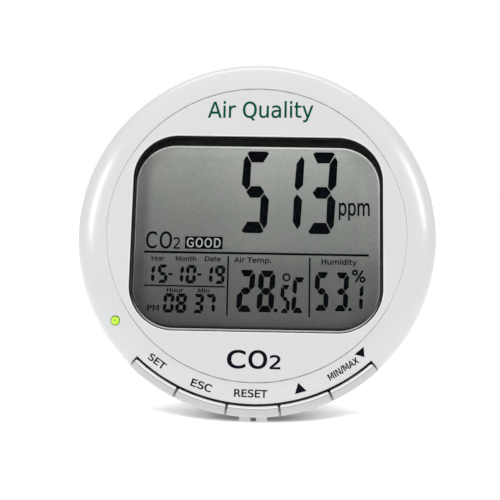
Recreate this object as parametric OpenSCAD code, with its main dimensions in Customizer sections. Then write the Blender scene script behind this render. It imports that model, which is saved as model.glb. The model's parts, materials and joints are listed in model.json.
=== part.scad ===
// Round desk and wall carbon dioxide monitor.
// Millimetres. +Z is up, +X is to the right, and the display looks towards -Y.
// The case leans back on its rear leg. Everything is first drawn in the case's own
// frame (x right, y up the face, z out of the face, zero on the face's surface), and
// dev() then leans it back and lifts it onto its feet.

/* [Case] */
// Outer diameter of the round case
case_d = 130; // [128:1:136]
// Depth of the case from the face to the flat back
case_depth = 34; // [33:0.5:38]
// Wall thickness of the two shells
wall = 2.2; // [1.9:0.1:2.4]
// How far the face leans back, in degrees
lean = 14; // [12:1:16]
// Depth of the line where the front and rear shells meet
parting = 9; // [8.8:0.1:9.4]

/* [Display] */
// Width of the window in the face
window_w = 89.6; // [86:0.2:89.6]
// Height of the window in the face
window_h = 70.9; // [68:0.1:70.9]
// Corner radius of the window
window_r = 16.2; // [14:0.1:17]
// Depth of the glass display behind the face
lcd_depth = 5; // [4.6:0.1:5.2]

/* [Keys] */
// Angle from one key to the next, in degrees
key_pitch = 16.9; // [15.5:0.1:17]
// Gap between two keys
key_gap = 0.5; // [0.4:0.05:0.8]
// How far a key is pushed in
key_travel = 0.6; // [0.3:0.05:0.6]

/* [Status light] */
// Diameter of the domed status light
led_d = 3.2; // [2.6:0.1:3.6]

/* [Back] */
// Number of vent slots on each side
vent_count = 5; // [3:1:5]
// Width of a vent slot
vent_w = 2; // [1.4:0.1:2.4]
// Width of the folding leg
leg_w = 27; // [22:0.5:27]
// Thickness of the folding leg
leg_t = 2.8; // [2.4:0.1:3]
// Radius of the wall hook's entry hole
keyhole_r = 4.25; // [3.8:0.05:4.5]
// Width of the wall hook's slot
keyhole_slot = 4.4; // [3.6:0.1:4.6]

/* [Feet] */
// How far the front feet stand below the round edge
foot_drop = 1.6; // [1.4:0.1:2.4]

/* [Hidden] */
$fn = 96;
R = case_d / 2;                 // outer radius
Rf = R - 11.4;                  // radius of the face plate's pocket
Rk = R - 3.97;                  // radius of the edge behind the keys
corner = 20;                    // rounding of the case's back edge
foot_front = 12.6;              // depth of the feet's front
z0 = (R + foot_drop) * cos(lean) + foot_front * sin(lean);
y_mid = 18.92;                  // the origin lies under the middle, from the keys to the leg
key_az = [for (i = [-2:2]) -90 + i * key_pitch];
key_half = key_pitch / 2 - key_gap / 2 / (R - 2) * 180 / PI;
notch_half = key_pitch * 2.5 + 0.25;
sw_r = R - 10.5;                // radius the key switches sit on
post_r = R - 7.4;               // radius of the key guide posts
pcb_top = -16.2;
pcb_bot = -17.8;
bosses = [[28.5, 49.4], [-28.5, 49.4], [53.6, -19.5], [-53.6, -19.5]];
pcb_fix = [[40, 28], [-40, 28], [40, -28], [-40, -28]];
led_pos = [-49.1, -32.6];
// the folding leg's hinge and its reach to the floor
hinge_y = -10;
hinge_z = -case_depth + 2.4;
leg_arc = 66;
cy = -(R - corner);
cz = -case_depth + corner;
tip_y = cy - corner * sin(leg_arc) - hinge_y;
tip_z = cz - corner * cos(leg_arc) - hinge_z;
tip_l = sqrt(tip_y * tip_y + tip_z * tip_z);
hinge_up = z0 + hinge_y * cos(lean) + hinge_z * sin(lean);
fold = acos(hinge_up / tip_l) + lean + atan2(tip_z, -tip_y);
bay_x = R - 6;                  // face of the socket bay
dc_y = 8.6;
out_y = 0.4;
usb_y = -7.0;
dc_z = -22.6;
out_z = -21.2;
usb_z = -19.8;

// ---------------------------------------------------------------- helpers

module dev() { translate([0, -y_mid, z0]) rotate([90 - lean, 0, 0]) children(); }

// plate between two depths
module slab(z_low, z_high) { translate([0, 0, z_low]) linear_extrude(z_high - z_low) children(); }

// profile drawn as (up the face, out of the face), run along x
module run_x(x_low, x_high) { translate([x_low, 0, 0]) rotate([90, 0, 90]) linear_extrude(x_high - x_low) children(); }

module rod(x, y, z_low, z_high, r) { translate([x, y, z_low]) cylinder(r = r, h = z_high - z_low); }

module box(x_low, x_high, y_low, y_high, z_low, z_high) {
    translate([x_low, y_low, z_low]) cube([x_high - x_low, y_high - y_low, z_high - z_low]);
}

module rr(a, b, r) {
    square([2 * (a - r), 2 * b], center = true);
    square([2 * a, 2 * (b - r)], center = true);
    for (x = [-1, 1], y = [-1, 1]) translate([x * (a - r), y * (b - r)]) circle(r);
}

module span(r_low, r_high, z_low, z_high) { translate([r_low, z_low]) square([r_high - r_low, z_high - z_low]); }

// half section of the front shell's outside, drawn inwards by t
module rim_section(t) {
    j = R - 6.4 + (6.4 - t) * 0.375;
    intersection() { translate([R - 13.095, -24.24]) circle(24.3 - t); span(R - 16, j, -parting - 1, 1); }
    intersection() { translate([R - 6.4, -7.64]) circle(6.4 - t); span(R - 6.4, R + 1, -7.64, 1); }
    span(R - 16, R - t, -parting - 1, -7.64);
}

module rear_section(t) {
    span(0, R - t, cz, -parting);
    intersection() { translate([R - corner, cz]) circle(corner - t); span(R - corner, R + 1, -case_depth, cz); }
    span(0, R - corner, -case_depth + t, cz);
}

module rear_solid(t) { rotate_extrude() rear_section(t); }

// ---------------------------------------------------------------- front shell

module key_walls() {
    // wall behind the keys and its two ends, with their tops buried in the skin
    rotate([0, 0, -90 - notch_half - 2.4]) rotate_extrude(angle = 2 * notch_half + 4.8)
        span(Rk - 1.8, Rk + 0.6, -8.7, -2.7);
    for (s = [-90 - notch_half - 1.6, -90 + notch_half - 1]) rotate([0, 0, s]) rotate_extrude(angle = 2.6)
        translate([R, 0]) polygon([[-5.6, -8.6], [-1.2, -8.6], [-1.2, -7.5], [-2.14, -4.66], [-3.8, -3.14], [-5.6, -2.5]]);
}

module bezel_solid() {
    difference() {
        union() {
            rotate_extrude() difference() {
                intersection() { rim_section(0); span(Rf - 2, R + 1, -parting, 1); }
                difference() { rim_section(wall); span(Rf - 3, Rf + 2.4, -parting - 2, 1); }
                span(Rf - 3, Rf, -2.2, 1);
                span(Rf - 3, Rf + 2.4, -parting - 2, -4.3);
            }
            key_walls();
        }
        // opening for the keys
        rotate([0, 0, -90 - notch_half]) rotate_extrude(angle = 2 * notch_half) span(Rk, R + 2, -parting - 1, 2);
    }
    // lip that nests in the rear shell, away from the keys
    rotate([0, 0, -90 + notch_half + 4]) rotate_extrude(angle = 352 - 2 * notch_half) {
        span(R - 3.8, R - 2, -parting, -6.8);
        span(R - 3.8, R - 2.4, -11, -parting);
    }
    for (b = bosses) rod(b[0], b[1], pcb_top, -2, 3);
    for (a = key_az) rod(post_r * cos(a), post_r * sin(a), -12.4, -2.2, 1);
}

module front_bezel() color([0.89, 0.9, 0.9]) dev() difference() {
    bezel_solid();
    for (b = bosses) rod(b[0], b[1], pcb_top - 1, -7.5, 1.27);
    rod(led_pos[0], led_pos[1], -12, 2, led_d / 2 + 0.08);
}

module face_plate() color([0.9, 0.91, 0.91]) dev() slab(-2.2, 0) difference() {
    circle(Rf - 0.15);
    rr(window_w / 2, window_h / 2, window_r);
}

// ---------------------------------------------------------------- display

module display_lens() color([0.75, 0.8, 0.8, 0.4]) dev()
    slab(-2.1, -0.6) rr(window_w / 2 - 0.35, window_h / 2 - 0.35, window_r - 0.35);

module lens_tape() color([0.08, 0.08, 0.08]) dev() slab(-2.4, -2.1) difference() {
    rr(window_w / 2 - 0.35, window_h / 2 - 0.35, window_r - 0.35);
    rr(window_w / 2 - 0.6, window_h / 2 - 0.7, window_r - 0.6);
}

module display_mask() color([0.05, 0.05, 0.05]) dev() slab(-lcd_depth, -2.4) difference() {
    rr(window_w / 2 + 0.5, window_h / 2 + 0.55, window_r + 0.4);
    translate([0, -0.35]) rr(window_w / 2 - 0.55, window_h / 2 - 1.95, window_r - 1.7);
}

module lcd_glass() color([0.55, 0.58, 0.53]) dev()
    box(-45.5, 45.5, -35.95, 35.25, -lcd_depth - 2.2, -lcd_depth);

module lcd_light_guide() color([0.85, 0.88, 0.86]) dev() union() {
    box(-44.8, 44.8, -33, 33, -lcd_depth - 4.8, -lcd_depth - 2.2);
    box(44.8, 45.6, -8, 8, -lcd_depth - 4.8, -lcd_depth - 2.8);
}

module lcd_holder() color([0.8, 0.81, 0.8]) dev() difference() {
    union() {
        difference() {
            box(-47.4, 47.4, -37.4, 37.4, pcb_top, -lcd_depth);
            box(-45.9, 45.9, -36.2, 36.2, pcb_top - 1, 1);
        }
        box(-46, 46, -33, 33, -lcd_depth - 6, -lcd_depth - 4.8);
        for (p = pcb_fix) rod(p[0], p[1], pcb_top, -lcd_depth - 5, 3);
    }
    for (p = pcb_fix) rod(p[0], p[1], pcb_top - 1, -12, 1);
    // room for the status light's collar
    rod(led_pos[0], led_pos[1], pcb_top - 1, -4, led_d / 2 + 0.7);
    // weight-saving windows in the side walls, for the strips' contact checks
    for (y = [-20, 0, 20]) box(-50, 50, y - 4, y + 4, -15.2, -12.2);
}

module elastomer_strips() color([0.85, 0.55, 0.6]) dev()
    for (s = [-1, 1]) box(-38, 38, s * 34.4 - 1.1, s * 34.4 + 1.1, pcb_top, -lcd_depth - 2.2);

// ---------------------------------------------------------------- circuit board

module main_pcb() color([0.1, 0.4, 0.2]) dev() slab(pcb_bot, pcb_top) difference() {
    circle(R - 4.7);
    translate([R - 8.4, -R]) square([20, 2 * R]);
    for (b = bosses) translate(b) circle(1.6);
    for (p = pcb_fix) translate(p) circle(1.15);
}

module pcb_screws() color([0.75, 0.76, 0.78]) dev() for (p = pcb_fix) difference() {
    union() {
        rod(p[0], p[1], pcb_bot - 1.4, pcb_bot, 2);
        rod(p[0], p[1], pcb_bot - 0.1, -12.6, 0.98);
    }
    for (a = [0, 90]) translate([p[0], p[1], pcb_bot - 1.4]) rotate([0, 0, a]) cube([2.2, 0.5, 1.2], center = true);
}

module microcontroller() color([0.12, 0.12, 0.13]) dev() union() {
    box(-11, 3, -29, -15, pcb_bot - 1.4, pcb_bot - 0.2);
    for (i = [0:9]) for (s = [0, 1]) box(-10.2 + i * 1.3, -9.7 + i * 1.3, s * 14 - 29.6, s * 14 - 28.4, pcb_bot - 0.7, pcb_bot);
}

module at_key(i) { rotate([0, 0, key_az[i]]) children(); }

module tact_switches() color([0.15, 0.15, 0.16]) dev() for (i = [0:4]) at_key(i) difference() {
    box(sw_r - 3, sw_r + 3, -3, 3, pcb_top, pcb_top + 3.5);
    rod(sw_r, 0, pcb_top + 1.2, pcb_top + 4, 1.75);
}

module status_led() color([0.6, 0.85, 0.15]) dev() translate([led_pos[0], led_pos[1], 0]) {
    union() {
        translate([0, 0, -1.6]) sphere(r = led_d / 2);
        rod(0, 0, -6.2, -1.6, led_d / 2);
        rod(0, 0, -7.2, -6.2, led_d / 2 + 0.4);
    }
    for (s = [-1, 1]) rod(s * 1.27, 0, pcb_top, -7.2, 0.3);
}

module co2_sensor_board() color([0.08, 0.3, 0.16]) dev() difference() {
    box(-29, 27, 4, 25, -21.8, -20.6);
    for (x = [-27, 25]) rod(x, 22.8, -23, -20, 1);
}

module co2_sensor_chamber() color([0.78, 0.66, 0.36]) dev() difference() {
    union() {
        box(-24, 22, 7, 22, -28.4, -21.8);
        box(-22, 20, 8.5, 20.5, -29.6, -28.4);
    }
    for (x = [-14, -6, 2, 10]) box(x, x + 4, 10.5, 18.5, -30, -28.6);
}

module co2_filter() color([0.93, 0.93, 0.9]) dev()
    slab(-30.4, -29.6) translate([-1, 14.5]) rr(17, 4.6, 2);

module sensor_header() color([0.13, 0.13, 0.13]) dev() union() {
    box(-12, 12, 5, 7.4, -20.6, pcb_bot);
    box(-12, 12, 22, 24.4, -20.6, pcb_bot);
}

module humidity_sensor() color([0.9, 0.9, 0.88]) dev() difference() {
    box(-46.5, -41.5, 2, 8, -20.2, pcb_bot);
    for (y = [3.2, 4.8, 6.4]) box(-45.4, -42.6, y - 0.35, y + 0.35, -21, -19.2);
}

module buzzer() color([0.1, 0.1, 0.1]) dev() difference() {
    rod(-27, -36, -25, pcb_bot, 6);
    rod(-27, -36, -26, -23.6, 1);
}

module coin_cell() color([0.8, 0.8, 0.82]) dev() rod(28.4, -38, -21.4, -18.2, 10);

module coin_cell_clip() color([0.7, 0.68, 0.6]) dev() union() {
    box(17.6, 39.2, -40.5, -35.5, -22, -21.4);
    for (x = [17.6, 38.6]) box(x, x + 0.6, -40.5, -35.5, -21.5, pcb_bot);
    rod(28.4, -38, -18.2, pcb_bot, 6);
}

// ---------------------------------------------------------------- keys

module key_section() {
    intersection() { translate([R - 3.3, -4.8]) circle(3.5); span(Rk + 0.22, R + 1, -4.8, 0); }
    span(Rk + 0.22, R + 0.2, -parting + 0.2 + key_travel, -4.8);
    span(Rk + 0.22, R - 2.5, -10.4, -8);
}

module key(i) color([0.84, 0.85, 0.85]) dev() at_key(i) difference() {
    union() {
        rotate([0, 0, -key_half]) rotate_extrude(angle = 2 * key_half) key_section();
        box(sw_r - 2.4, Rk + 0.6, -3, 3, -10.4, -9);
        rod(sw_r, 0, -11.1, -10.3, 1.6);
    }
    rod(post_r, 0, -11, -8, 1.15);
}

module set_key() key(0);
module escape_key() key(1);
module reset_key() key(2);
module up_key() key(3);
module down_key() key(4);

module stem(i) color([0.2, 0.2, 0.2]) dev() at_key(i) rod(sw_r, 0, -14.2, -11.1, 1.68);

module set_switch_stem() stem(0);
module escape_switch_stem() stem(1);
module reset_switch_stem() stem(2);
module up_switch_stem() stem(3);
module down_switch_stem() stem(4);

// ---------------------------------------------------------------- sockets

module dc_jack() color([0.1, 0.1, 0.1]) dev() union() {
    difference() {
        union() {
            box(bay_x - 14, bay_x - 3.7, dc_y - 4.2, dc_y + 4.2, dc_z - 4.3, pcb_bot);
            translate([bay_x - 4, dc_y, dc_z]) rotate([0, 90, 0]) cylinder(r = 3.4, h = 4);
        }
        translate([bay_x - 9.5, dc_y, dc_z]) rotate([0, 90, 0]) cylinder(r = 1.9, h = 12);
    }
    translate([bay_x - 10, dc_y, dc_z]) rotate([0, 90, 0]) cylinder(r = 0.65, h = 9.2);
}

module output_jack() color([0.1, 0.1, 0.1]) dev() difference() {
    union() {
        box(bay_x - 16, bay_x - 2.1, out_y - 3, out_y + 3, out_z - 3, pcb_bot);
        translate([bay_x - 3, out_y, out_z]) rotate([0, 90, 0]) cylinder(r = 2.5, h = 3);
    }
    translate([bay_x - 14, out_y, out_z]) rotate([0, 90, 0]) cylinder(r = 1.78, h = 16);
}

module usb_socket() color([0.75, 0.76, 0.78]) dev() union() {
    difference() {
        box(bay_x - 8, bay_x - 0.1, usb_y - 3.8, usb_y + 3.8, usb_z - 1.5, pcb_bot - 0.3);
        box(bay_x - 6, bay_x + 1, usb_y - 3.4, usb_y + 3.4, usb_z - 1.1, usb_z + 1.1);
    }
    box(bay_x - 6.5, bay_x - 1.2, usb_y - 2.4, usb_y + 2.4, usb_z - 0.3, usb_z + 0.3);
}

// ---------------------------------------------------------------- rear shell

// the folded leg's profile, from the barrel down round the case's back edge
module leg_profile(g, arc) {
    span(cy, hinge_y, -case_depth - (g > 0 ? 3 : 0), -case_depth + leg_t + g);
    intersection() {
        difference() {
            translate([cy, cz]) circle(corner + (g > 0 ? 3 : 0));
            translate([cy, cz]) circle(corner - leg_t - g);
        }
        translate([cy, cz]) polygon([[0, 0], [0, -60], [-60 * tan(arc / 2), -60], [-60 * sin(arc), -60 * cos(arc)]]);
    }
}

// the leg's barrel has a tooth that stops on a shoulder when the leg is out
module sector(a0, a1) { polygon([[0, 0], for (k = [0:4]) 9 * [cos(a0 + (a1 - a0) * k / 4), sin(a0 + (a1 - a0) * k / 4)]]); }

module recess_profile() {
    leg_profile(0.4, 80);
    translate([hinge_y, hinge_z]) {
        circle(2.8);
        intersection() { circle(3.8); sector(-100, -4 + fold); }
    }
    span(hinge_y - 3, hinge_y + 2.8, -case_depth - 3, hinge_z);
}

module recess_wall_profile() {
    translate([hinge_y, hinge_z]) circle(5.8);
    span(cy - 0.5, hinge_y + 4, -case_depth, -case_depth + leg_t + 2.4);
    intersection() {
        translate([cy, cz]) circle(corner);
        difference() {
            span(cy - 40, cy + 1, cz - 40, cz + 3);
            translate([cy, cz]) circle(corner - leg_t - 2.4);
        }
    }
}

module rear_cover() color([0.88, 0.89, 0.9]) dev() difference() {
    union() {
        difference() { rear_solid(0); rotate_extrude() { rear_section(wall); span(0, R - wall, -12, 1); } }
        intersection() {
            rear_solid(0.2);
            union() {
                difference() {
                    run_x(-leg_w / 2 - 2.8, leg_w / 2 + 2.8) recess_wall_profile();
                    box(-40, 40, -R, 0, -18, 5);
                }
                box(bay_x - 2, R + 2, -14, 16, -30.4, -15.4);
                for (b = bosses) rod(b[0], b[1], -40, pcb_bot, 3.6);
            }
        }
    }
    run_x(-leg_w / 2 - 0.4, leg_w / 2 + 0.4) recess_profile();
    box(bay_x, R + 3, -12, 14, -28.4, -17.4);
    translate([bay_x - 4, dc_y, dc_z]) rotate([0, 90, 0]) cylinder(r = 3.5, h = 6);
    translate([bay_x - 4, out_y, out_z]) rotate([0, 90, 0]) cylinder(r = 2.6, h = 6);
    box(bay_x - 4, bay_x + 1, usb_y - 4, usb_y + 4, usb_z - 1.7, usb_z + 1.9);
    for (b = bosses) {
        rod(b[0], b[1], -24.1, -10, 1.6);
        rod(b[0], b[1], -50, -24, 2.9);
    }
    for (s = [-1, 1]) for (i = [0:vent_count - 1]) translate([s * (20 + 4 * i), 4, -case_depth - 1]) {
        translate([-vent_w / 2, -11, 0]) cube([vent_w, 22, 6]);
        for (e = [-11, 11]) translate([0, e, 0]) cylinder(r = vent_w / 2, h = 6);
    }
    // keyhole for a screw in a wall
    rod(0, 30, -case_depth - 1, -case_depth + 5, keyhole_r);
    box(-keyhole_slot / 2, keyhole_slot / 2, 30, 38, -case_depth - 1, -case_depth + 5);
    rod(0, 38, -case_depth - 1, -case_depth + 5, keyhole_slot / 2);
    // hinge pin's holes
    run_x(-leg_w / 2 - 2.4, leg_w / 2 + 2.4) translate([hinge_y, hinge_z]) circle(1);
}

module vent_filters() color([0.3, 0.3, 0.32]) dev()
    for (s = [-1, 1]) box(s * 28 - 10.4, s * 28 + 10.4, -9.5, 17.5, -case_depth + wall, -case_depth + wall + 0.8);

module rating_label() color([0.8, 0.81, 0.82]) dev()
    for (s = [-1, 1]) slab(-case_depth - 0.2, -case_depth) translate([s * 27.5, -20]) rr(8.5, 6, 1.2);

module case_screws() color([0.6, 0.61, 0.63]) dev() for (b = bosses) difference() {
    union() {
        rod(b[0], b[1], -26, -24, 2.6);
        rod(b[0], b[1], -24.1, -8.2, 1.25);
    }
    for (a = [0, 90]) translate([b[0], b[1], -26]) rotate([0, 0, a]) cube([3, 0.7, 2], center = true);
}

// ---------------------------------------------------------------- folding leg and feet

module leg_folded() {
    difference() {
        union() {
            intersection() {
                rear_solid(0);
                run_x(-leg_w / 2, leg_w / 2) leg_profile(0, leg_arc + 10);
                // the leg narrows to a rounded end
                union() {
                    box(-leg_w / 2, leg_w / 2, -50, 0, -40, 0);
                    slab(-40, 0) translate([0, -46]) circle(leg_w / 2 + 5.4);
                }
            }
            run_x(-leg_w / 2, leg_w / 2) translate([hinge_y, hinge_z]) {
                circle(2.4);
                intersection() { circle(3.5); sector(-34, -5); }
            }
        }
        run_x(-leg_w / 2 - 1, leg_w / 2 + 1) translate([hinge_y, hinge_z]) circle(1.06);
    }
}

module leg_out() dev() translate([0, hinge_y, hinge_z]) rotate([fold, 0, 0]) translate([0, -hinge_y, -hinge_z]) leg_folded();

module desk_stand() color([0.86, 0.87, 0.88]) difference() {
    leg_out();
    translate([-50, -50, -30]) cube([100, 200, 31.5]);
}

module stand_foot_pad() color([0.25, 0.26, 0.27]) intersection() {
    leg_out();
    translate([-50, -50, 0]) cube([100, 200, 1.5]);
}

module stand_pin() color([0.72, 0.73, 0.75]) dev()
    run_x(-leg_w / 2 - 2.3, leg_w / 2 + 2.3) translate([hinge_y, hinge_z]) circle(1);

module front_feet() color([0.87, 0.88, 0.88]) difference() {
    dev() difference() {
        for (s = [-1, 1]) box(s * 3 - 2, s * 3 + 2, -R - 6, -R + 4, -16.8, -foot_front);
        translate([0, 0, -40]) cylinder(r = R, h = 50, $fn = 720);
    }
    translate([-50, -50, -30]) cube([100, 100, 30]);
}

front_bezel();
face_plate();
display_lens();
lens_tape();
display_mask();
lcd_glass();
lcd_light_guide();
lcd_holder();
elastomer_strips();
main_pcb();
pcb_screws();
microcontroller();
tact_switches();
set_key();
escape_key();
reset_key();
up_key();
down_key();
set_switch_stem();
escape_switch_stem();
reset_switch_stem();
up_switch_stem();
down_switch_stem();
status_led();
co2_sensor_board();
co2_sensor_chamber();
co2_filter();
sensor_header();
humidity_sensor();
buzzer();
coin_cell();
coin_cell_clip();
dc_jack();
output_jack();
usb_socket();
rear_cover();
vent_filters();
rating_label();
case_screws();
desk_stand();
stand_pin();
stand_foot_pad();
front_feet();
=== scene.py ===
import bpy, bmesh, json, math
from mathutils import Vector, Matrix


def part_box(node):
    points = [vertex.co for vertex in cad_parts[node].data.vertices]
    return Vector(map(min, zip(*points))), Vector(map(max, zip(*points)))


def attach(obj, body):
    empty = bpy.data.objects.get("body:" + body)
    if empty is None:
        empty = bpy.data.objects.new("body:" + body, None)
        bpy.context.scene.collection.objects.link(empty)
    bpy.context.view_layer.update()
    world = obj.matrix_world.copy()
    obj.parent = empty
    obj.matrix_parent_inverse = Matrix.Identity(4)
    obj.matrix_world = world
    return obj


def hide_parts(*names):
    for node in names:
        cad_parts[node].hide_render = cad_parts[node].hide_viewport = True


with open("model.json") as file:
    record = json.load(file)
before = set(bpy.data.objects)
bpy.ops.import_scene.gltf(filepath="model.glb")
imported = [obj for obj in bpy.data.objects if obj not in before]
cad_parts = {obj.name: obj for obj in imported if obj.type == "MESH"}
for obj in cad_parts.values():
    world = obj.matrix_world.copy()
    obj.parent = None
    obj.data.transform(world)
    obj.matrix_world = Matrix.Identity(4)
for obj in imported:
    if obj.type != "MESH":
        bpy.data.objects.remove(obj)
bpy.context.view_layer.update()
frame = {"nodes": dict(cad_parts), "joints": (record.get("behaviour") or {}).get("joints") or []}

# ------------------------------------------------------------------ the case's own frame
# x right, y up the face, z out of the face, in millimetres, zero on the face's surface.
ax = [j for j in frame["joints"] if j["name"] == "reset_press"][0]["axis"]
LEAN = math.atan2(-ax[2], ax[1])
SL, CL = math.sin(LEAN), math.cos(LEAN)
lo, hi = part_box("face_plate")
mid = (lo + hi) / 2
ORG = Vector((0, mid.y - 0.0011 * CL, mid.z + 0.0011 * SL))
R = 65.0
RF = 53.6
RK = 61.03
CORNER = 20.0
CYB, CZB = 45.0, -14.0
DEPTH = 34.0
NOTCH = 42.5
KEY_AZ = [-90 + 16.9 * i for i in (-2, -1, 0, 1, 2)]
KEYS = ["set", "escape", "reset", "up", "down"]
LED = (-49.1, -32.6)
BOSSES = [(28.5, 49.4), (-28.5, 49.4), (53.6, -19.5), (-53.6, -19.5)]


def D(x, y, z):
    return ORG + Vector((x, y * SL - z * CL, y * CL + z * SL)) / 1000


def DV(x, y, z):
    return Vector((x, y * SL - z * CL, y * CL + z * SL))


def ring_z(r):
    if r <= 61.0:
        return -24.24 + math.sqrt(max(0.0, 24.3 ** 2 - (r - 51.905) ** 2))
    return -7.64 + math.sqrt(max(0.0, 6.4 ** 2 - (r - 58.6) ** 2))


# ------------------------------------------------------------------ mesh helpers

def build(name, verts, faces, sharp=32, smooth=True, world=False, mats=None, fm=None):
    me = bpy.data.meshes.new(name)
    me.from_pydata([tuple(v) if world else tuple(D(*v)) for v in verts], [], faces)
    me.validate()
    bm = bmesh.new()
    bm.from_mesh(me)
    bmesh.ops.recalc_face_normals(bm, faces=bm.faces)
    bm.to_mesh(me)
    bm.free()
    if fm:
        me.polygons.foreach_set("material_index", fm)
    if smooth:
        me.polygons.foreach_set("use_smooth", [True] * len(me.polygons))
        me.set_sharp_from_angle(angle=math.radians(sharp))
    ob = bpy.data.objects.new(name, me)
    bpy.context.scene.collection.objects.link(ob)
    return ob


class Soup:
    def __init__(self):
        self.v, self.f, self.m = [], [], []

    def add(self, verts, faces, mi=0):
        o = len(self.v)
        self.v += [tuple(p) for p in verts]
        self.f += [tuple(i + o for i in f) for f in faces]
        self.m += [mi] * len(faces)

    def loops(self, loops, close_u=True, close_v=False, cap0=False, cap1=False, mi=0, mis=None):
        """quads between consecutive loops of the same length"""
        n = len(loops[0])
        o = len(self.v)
        for lp in loops:
            self.v += [tuple(p) for p in lp]
        nl = len(loops)
        for i in range(nl if close_v else nl - 1):
            j = (i + 1) % nl
            for k in range(n if close_u else n - 1):
                l = (k + 1) % n
                self.f.append((o + i * n + k, o + i * n + l, o + j * n + l, o + j * n + k))
                self.m.append(mis[i] if mis else mi)
        if cap0:
            self.f.append(tuple(o + k for k in range(n)))
            self.m.append(mi)
        if cap1:
            self.f.append(tuple(o + (nl - 1) * n + k for k in reversed(range(n))))
            self.m.append(mi)

    def box(self, x0, x1, y0, y1, z0, z1, mi=0):
        v = [(x, y, z) for z in (z0, z1) for y in (y0, y1) for x in (x0, x1)]
        self.add(v, [(0, 1, 3, 2), (4, 6, 7, 5), (0, 4, 5, 1), (2, 3, 7, 6), (0, 2, 6, 4), (1, 5, 7, 3)], mi)

    def prism(self, poly, z0, z1, mi=0):
        """closed plate from a flat outline of (x, y)"""
        n = len(poly)
        v = [(x, y, z0) for x, y in poly] + [(x, y, z1) for x, y in poly]
        f = [tuple(range(n - 1, -1, -1)), tuple(range(n, 2 * n))]
        f += [(k, (k + 1) % n, n + (k + 1) % n, n + k) for k in range(n)]
        self.add(v, f, mi)

    def make(self, name, **kw):
        return build(name, self.v, self.f, fm=self.m, **kw)


def arc(cx, cy, r, a0, a1, n):
    return [(cx + r * math.cos(math.radians(a0 + (a1 - a0) * i / n)), cy + r * math.sin(math.radians(a0 + (a1 - a0) * i / n))) for i in range(n + 1)]


def revolve(soup, prof, a0, a1, step=0.75, mi=0):
    """closed profile of (r, z) swept about the case's axis from a0 to a1 degrees"""
    full = abs(a1 - a0 - 360) < 1e-6
    n = max(2, int(round((a1 - a0) / step)))
    rings = []
    for i in range(n if full else n + 1):
        a = math.radians(a0 + (a1 - a0) * i / n)
        rings.append([(r * math.cos(a), r * math.sin(a), z) for r, z in prof])
    soup.loops(rings, close_u=True, close_v=full, cap0=not full, cap1=not full, mi=mi)


def rrect(a, b, r, cx=0.0, cy=0.0, n=24, m=12):
    """rounded rectangle, as points that keep their order from one size to the next"""
    pts = []
    for q, (sx, sy) in enumerate(((1, 1), (-1, 1), (-1, -1), (1, -1))):
        for i in range(n + 1):
            t = math.radians(90 * q + 90 * i / n)
            pts.append((cx + sx * (a - r) + r * math.cos(t), cy + sy * (b - r) + r * math.sin(t)))
        nx, ny = ((-1, 1), (-1, -1), (1, -1), (1, 1))[q]
        t = math.radians(90 * q + 90)
        p0 = pts[-1]
        p1 = (cx + nx * (a - r) + r * math.cos(t), cy + ny * (b - r) + r * math.sin(t))
        for i in range(1, m):
            pts.append((p0[0] + (p1[0] - p0[0]) * i / m, p0[1] + (p1[1] - p0[1]) * i / m))
    return pts


def at(loop, z):
    return [(x, y, z) for x, y in loop]


def bool_op(ob, cutter, op="DIFFERENCE"):
    m = ob.modifiers.new("cut", "BOOLEAN")
    m.object = cutter
    m.operation = op
    m.solver = "EXACT"
    dg = bpy.context.evaluated_depsgraph_get()
    me = bpy.data.meshes.new_from_object(ob.evaluated_get(dg))
    ob.modifiers.clear()
    old = ob.data
    ob.data = me
    bpy.data.meshes.remove(old)
    bpy.data.objects.remove(cutter)
    return ob


def resmooth(ob, sharp=32):
    ob.data.polygons.foreach_set("use_smooth", [True] * len(ob.data.polygons))
    ob.data.set_sharp_from_angle(angle=math.radians(sharp))


def bevelled(ob, width, segs=3, angle=32):
    """rounds every sharp edge and keeps the result as the piece's own mesh"""
    m = ob.modifiers.new("round", "BEVEL")
    m.width = width / 1000
    m.segments = segs
    m.limit_method = "ANGLE"
    m.angle_limit = math.radians(angle)
    m.use_clamp_overlap = True
    dg = bpy.context.evaluated_depsgraph_get()
    me = bpy.data.meshes.new_from_object(ob.evaluated_get(dg))
    ob.modifiers.clear()
    ob.data = me
    resmooth(ob, 40)
    return ob


# ------------------------------------------------------------------ materials

def new_mat(name):
    m = bpy.data.materials.new(name)
    m.use_nodes = True
    nt = m.node_tree
    nt.nodes.clear()
    out = nt.nodes.new("ShaderNodeOutputMaterial")
    b = nt.nodes.new("ShaderNodeBsdfPrincipled")
    nt.links.new(b.outputs[0], out.inputs[0])
    return m, nt, b


def coords(nt, scale=1.0):
    tc = nt.nodes.new("ShaderNodeTexCoord")
    mp = nt.nodes.new("ShaderNodeMapping")
    mp.inputs["Scale"].default_value = (scale, scale, scale)
    nt.links.new(tc.outputs["Object"], mp.inputs[0])
    return mp


def noise(nt, vec, scale, detail=3.0, rough=0.5):
    n = nt.nodes.new("ShaderNodeTexNoise")
    n.inputs["Scale"].default_value = scale
    n.inputs["Detail"].default_value = detail
    n.inputs["Roughness"].default_value = rough
    nt.links.new(vec.outputs[0], n.inputs["Vector"])
    return n


def ramp(nt, fac, stops):
    r = nt.nodes.new("ShaderNodeValToRGB")
    el = r.color_ramp.elements
    while len(el) < len(stops):
        el.new(0.5)
    for e, (p, c) in zip(el, stops):
        e.position = p
        e.color = (*c, 1)
    nt.links.new(fac, r.inputs[0])
    return r


def rng(nt, fac, a, b, f0=0.0, f1=1.0):
    m = nt.nodes.new("ShaderNodeMapRange")
    m.inputs["From Min"].default_value = f0
    m.inputs["From Max"].default_value = f1
    m.inputs["To Min"].default_value = a
    m.inputs["To Max"].default_value = b
    nt.links.new(fac, m.inputs["Value"])
    return m


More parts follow.
